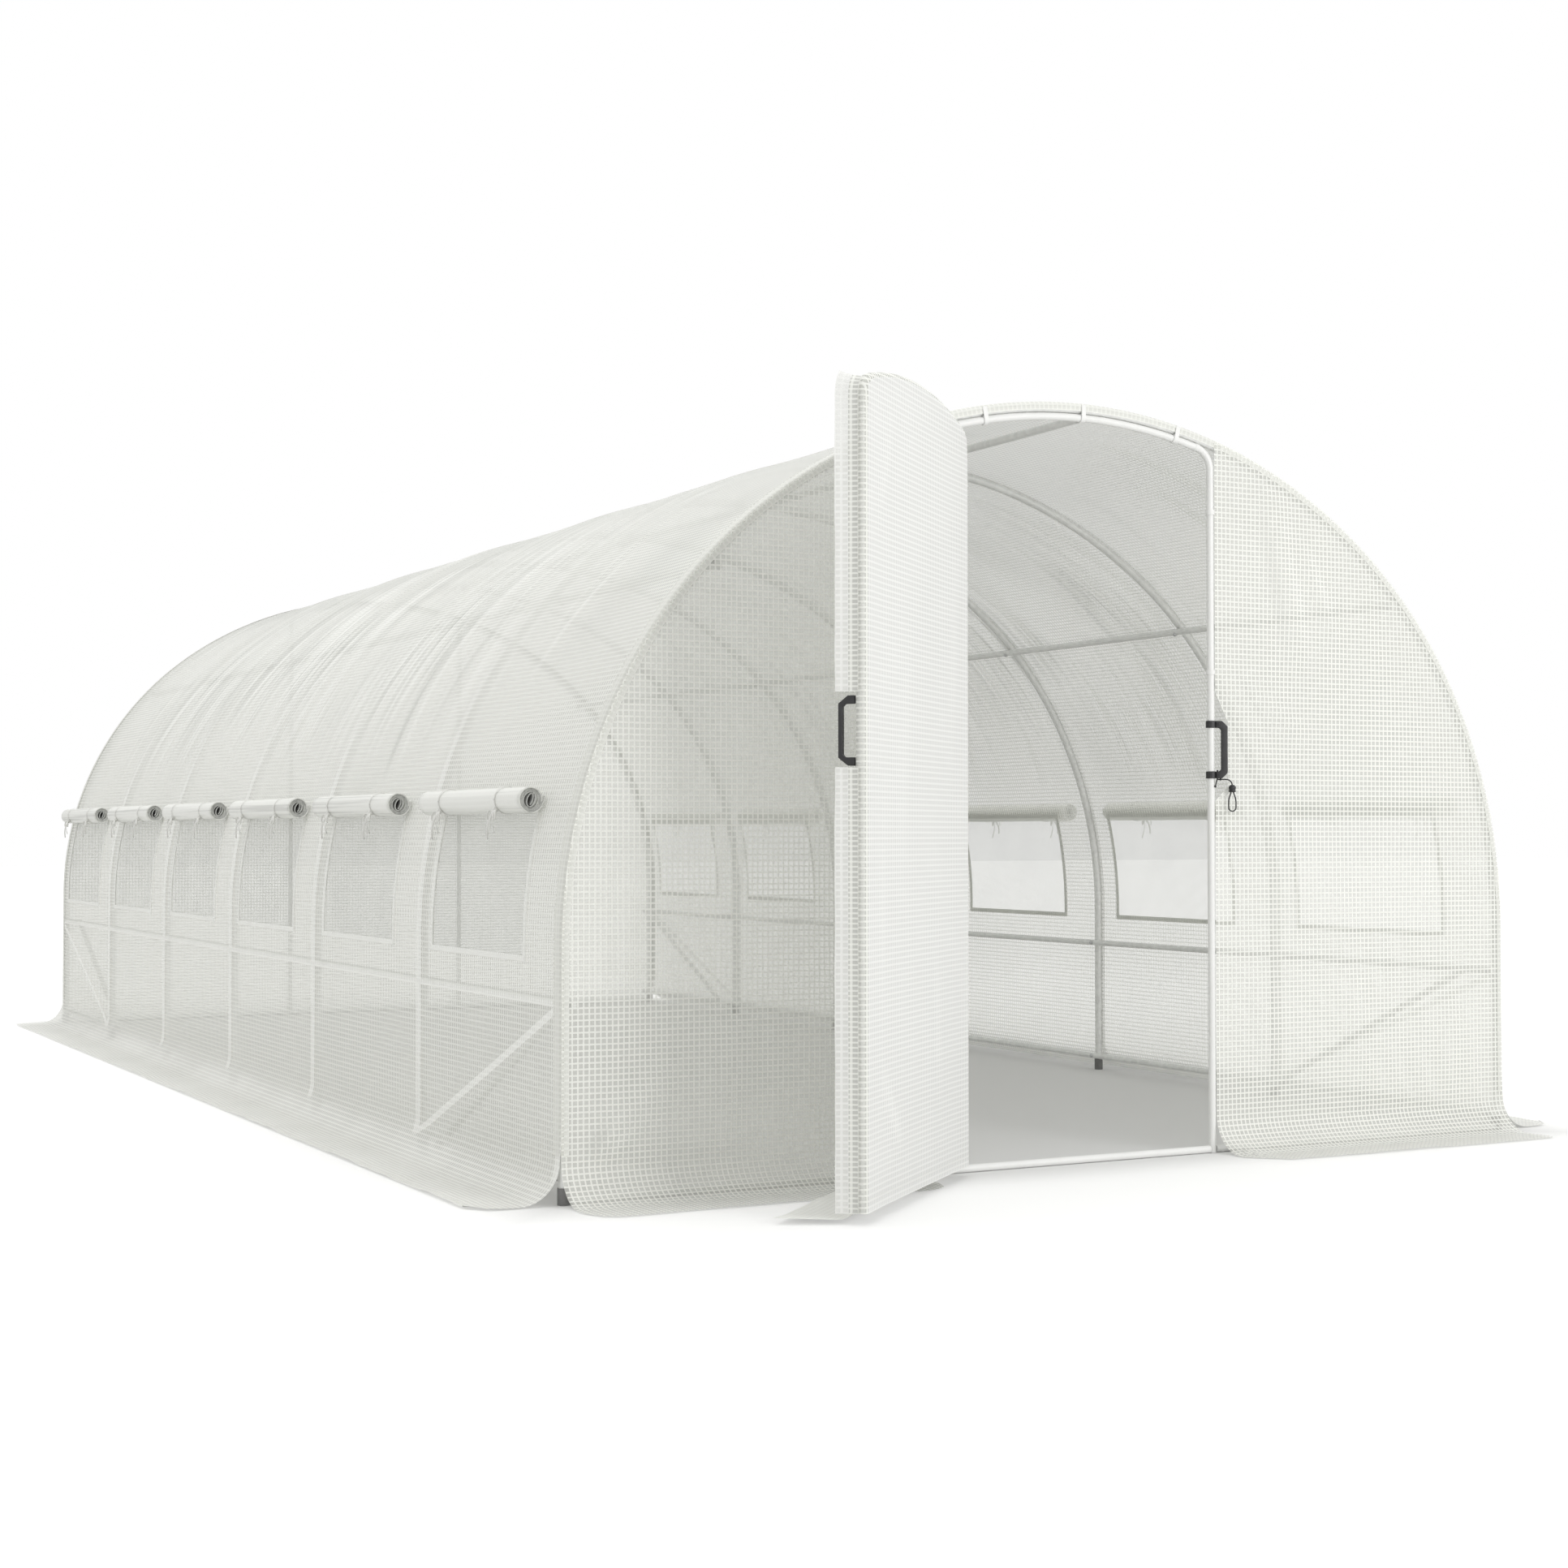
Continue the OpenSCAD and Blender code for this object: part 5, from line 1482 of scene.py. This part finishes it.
class TUNNEL_OT_handles(TunnelOperator, bpy.types.Operator):
    """The two black pull handles"""

    bl_idname = "tunnel.handles"
    bl_label = "Handles"

    def make(self, context, sizes, shape):
        def on_jamb(p):
            return turned(p, JAMB_TURN, JAMB, sizes.handle_middle)

        def on_leaf(p):
            return shape.open_door([0.391 + p[1], FILM - p[0], sizes.handle_middle + p[2]])

        self.handle("jamb_pull", 0.045, sizes.handle_size, on_jamb, "tunnel", "jamb_handle", True)
        self.handle("door_pull", 0.040, sizes.handle_size, on_leaf, "door", "door_handle", False)

    def handle(self, name, reach, size, place, body, node, clamps):
        top, arm, wide = size / 2, 0.019, 0.016
        start, grip, slant, drop = (0.0125, 0.017, 0.015, 0.015) if clamps else (0.0, 0.010, 0.023, 0.018)
        outline = [(start, top), (reach - slant, top), (reach, top - drop), (reach, drop - top), (reach - slant, -top),
                   (start, -top), (start, arm - top), (reach - grip - 0.006, arm - top),
                   (reach - grip, arm + 0.006 - top), (reach - grip, top - arm - 0.006),
                   (reach - grip - 0.006, top - arm), (start, top - arm)]
        work = bmesh.new()
        front = [work.verts.new((x, -wide / 2, z)) for x, z in outline]
        back = [work.verts.new((x, wide / 2, z)) for x, z in outline]
        count = len(outline)
        for i in range(count):
            work.faces.new((front[i], front[(i + 1) % count], back[(i + 1) % count], back[i]))
        for ring, order in ((front, 1), (back, -1)):
            for quad in ((0, 1, 10, 11), (1, 2, 9, 10), (2, 3, 8, 9), (3, 4, 7, 8), (4, 5, 6, 7)):
                work.faces.new([ring[i] for i in quad[::order]])
        bmesh.ops.recalc_face_normals(work, faces=work.faces)
        sharp = [edge for edge in work.edges if edge.calc_face_angle(0) > 0.3]
        bmesh.ops.bevel(work, geom=sharp, offset=0.0022, segments=3, profile=0.5, affect="EDGES")
        # a row of low ribs on the inner side of the grip
        for z in np.arange(-4, 5) * 0.0085:
            rib = [(reach - grip + 0.0004, y, z) for y in (-0.0052, 0.0052)]
            self.join(work, *sweep(rib, round_outline(0.0012, 8)))
        screw = [(0.0042, 0), (0.0042, 0.0012), (0.0036, 0.0022), (0.0020, 0.0024), (0.0018, 0.0010), (0.0004, 0.0010)]
        for end in (-1, 1):
            z = end * (top - arm / 2)
            if clamps:
                self.band(work, 0.0102, 0.0138, z - arm / 2, arm)
            at = (0.019 if clamps else 0.012, -wide / 2, z)
            self.join(work, *lathe(screw, 16, facing=(0, -1, 0), at=at))
        work.normal_update()
        bmesh.ops.recalc_face_normals(work, faces=work.faces)
        # points and corners in a fixed order, since the bevel leaves them in any order
        order = sorted(work.verts, key=lambda vert: tuple(vert.co))
        rank = {vert: i for i, vert in enumerate(order)}
        rings = [[rank[vert] for vert in face.verts] for face in work.faces]
        faces = sorted(ring[ring.index(min(ring)):] + ring[:ring.index(min(ring))] for ring in rings)
        mesh = bpy.data.meshes.new(name)
        mesh.from_pydata([tuple(place(vert.co)) for vert in order], [], faces)
        work.free()
        mesh.shade_smooth()
        mesh.set_sharp_from_angle(angle=math.radians(38))
        place_piece(mesh, look_of("black_plastic"), body, [node])

    def join(self, work, points, faces):
        verts = [work.verts.new(p) for p in points]
        for face in faces:
            work.faces.new([verts[i] for i in face])

    def band(self, work, inner, outer, low, high):
        """A round band that grips the jamb tube."""
        profile = [(inner, low), (outer - 0.001, low), (outer, low + 0.001), (outer, low + high - 0.001),
                   (outer - 0.001, low + high), (inner, low + high)]
        turn = np.arange(40) * 2 * math.pi / 40
        rings = [[work.verts.new((r * math.cos(a), r * math.sin(a), z)) for r, z in profile] for a in turn]
        for first, second in zip(rings, rings[1:] + rings[:1]):
            for i in range(len(profile)):
                j = (i + 1) % len(profile)
                work.faces.new((first[i], second[i], second[j], first[j]))


class TUNNEL_OT_bolts(TunnelOperator, bpy.types.Operator):
    """Bolt heads where the purlins and rails cross the hoops"""

    bl_idname = "tunnel.bolts"
    bl_label = "Crossing bolts"

    def make(self, context, sizes, shape):
        points, faces = lathe([(0.0075, -0.0012), (0.0075, 0.0012), (0.0058, 0.0014), (0.0056, 0.0042),
                               (0.0046, 0.0050), (0.0006, 0.0052)], 12)
        mesh = bpy.data.meshes.new("bolt")
        mesh.from_pydata(points.tolist(), [], faces)
        under, beside, up = 0.051, 0.049, math.radians(44)
        reach = sizes.shoulder_radius - under
        spots = [((0, sizes.crown_z + sizes.crown_radius - under), (0, -1))]
        for side in (-1, 1):
            spots.append(((side * (shape.inset + reach * math.cos(up)), sizes.leg_height + reach * math.sin(up)),
                          (-side * math.cos(up), -math.sin(up))))
            spots += [((side * (sizes.half_width - beside), height), (-side, 0)) for height in (WAIST, 0.052)]
        points, facing = [], []
        for place in range(sizes.bays + 1):
            for (x, z), (nx, nz) in spots:
                if x == 0 and place == 0:
                    continue
                points.append((x, shape.hoop_y(place), z))
                facing.append((nx, 0, nz))
        fitted("crossing_bolts", mesh, points, facing, "plated_steel", "tunnel")


class TUNNEL_OT_stitches(TunnelOperator, bpy.types.Operator):
    """Rows of stitches along the hems, sleeves, flap and skirts"""

    bl_idname = "tunnel.stitches"
    bl_label = "Stitches"

    def make(self, context, sizes, shape):
        lines = []
        low = shape.foot + 0.014
        runs = np.linspace(low, 2 * shape.half_run - low, 220)
        x, z, nx, nz = shape.section(runs)
        for y in (0.041, sizes.length - 0.041):
            lines.append(spread(x - nx * 0.0002, y, z - nz * 0.0002))
        outside = np.abs(x) > sizes.film_edge + 0.05
        for part in (outside & (x < 0), outside & (x > 0)):
            lines.append(spread(x - nx * 0.021, 0.0003, z - nz * 0.021)[part])
        reach = sizes.window_width / 2 + sizes.hem * 0.5
        foot, head = shape.low_run - sizes.hem * 0.5, shape.high_run + sizes.hem * 0.5
        for _, side in SIDES:
            for place in range(sizes.bays):
                y = np.concatenate([np.linspace(-reach, reach, 16), [reach] * 10, np.linspace(reach, -reach, 16),
                                    [-reach] * 10])
                run = np.concatenate([[foot] * 16, np.linspace(foot, head, 10), [head] * 16,
                                      np.linspace(head, foot, 10)])
                lines.append(shape.on_cover(shape.window_y(place) + y, shape.on_side(run, side), proud=0.0013)[0])
            ys = np.linspace(0.1, sizes.length - 0.1, 200)
            lines.append(shape.on_cover(ys, shape.on_side(0.014, side), proud=0.0003)[0])
        stitched("tunnel_stitches", lines, "tunnel")
        half = sizes.leaf_half
        top = shape.leaf_turn_z() - 0.02
        seams = []
        for foot, head in ((sizes.leaf_lift + 0.005, 1.018), (1.192, top)):
            z = np.linspace(foot, head, 30)
            seams.append(shape.open_door(spread(half - 0.0004, -0.008, z)))
        seams.append(shape.open_door(spread(np.linspace(-half + 0.03, half - 0.03, 40), 0.0314, 0.055)))
        stitched("door_stitches", seams, "door")


STEPS = [TUNNEL_OT_stage, TUNNEL_OT_cord, TUNNEL_OT_frame_finish, TUNNEL_OT_cover, TUNNEL_OT_sleeves,
         TUNNEL_OT_end_walls, TUNNEL_OT_windows, TUNNEL_OT_rolls, TUNNEL_OT_ties, TUNNEL_OT_door, TUNNEL_OT_handles,
         TUNNEL_OT_bolts, TUNNEL_OT_stitches]


class TUNNEL_PT_pieces(bpy.types.Panel):
    """Pieces of the tunnel, in the order they are made"""

    bl_idname = "TUNNEL_PT_pieces"
    bl_label = "Polytunnel"
    bl_space_type = "VIEW_3D"
    bl_region_type = "UI"
    bl_category = "Tunnel"

    def draw(self, context):
        for step in STEPS:
            self.layout.operator(step.bl_idname)
        for group in (context.scene.tunnel_sizes, context.scene.tunnel_colours):
            column = self.layout.column()
            for name in group.__annotations__:
                column.prop(group, name)


CLASSES = [TunnelSizes, TunnelColours, *STEPS, TUNNEL_PT_pieces]


def register():
    for item in CLASSES:
        bpy.utils.register_class(item)
    bpy.types.Scene.tunnel_sizes = PointerProperty(type=TunnelSizes)
    bpy.types.Scene.tunnel_colours = PointerProperty(type=TunnelColours)


def unregister():
    del bpy.types.Scene.tunnel_colours
    del bpy.types.Scene.tunnel_sizes
    for item in reversed(CLASSES):
        bpy.utils.unregister_class(item)


def main():
    register()
    for step in STEPS:
        group, name = step.bl_idname.split(".")
        getattr(getattr(bpy.ops, group), name)()


if __name__ == "__main__":
    main()
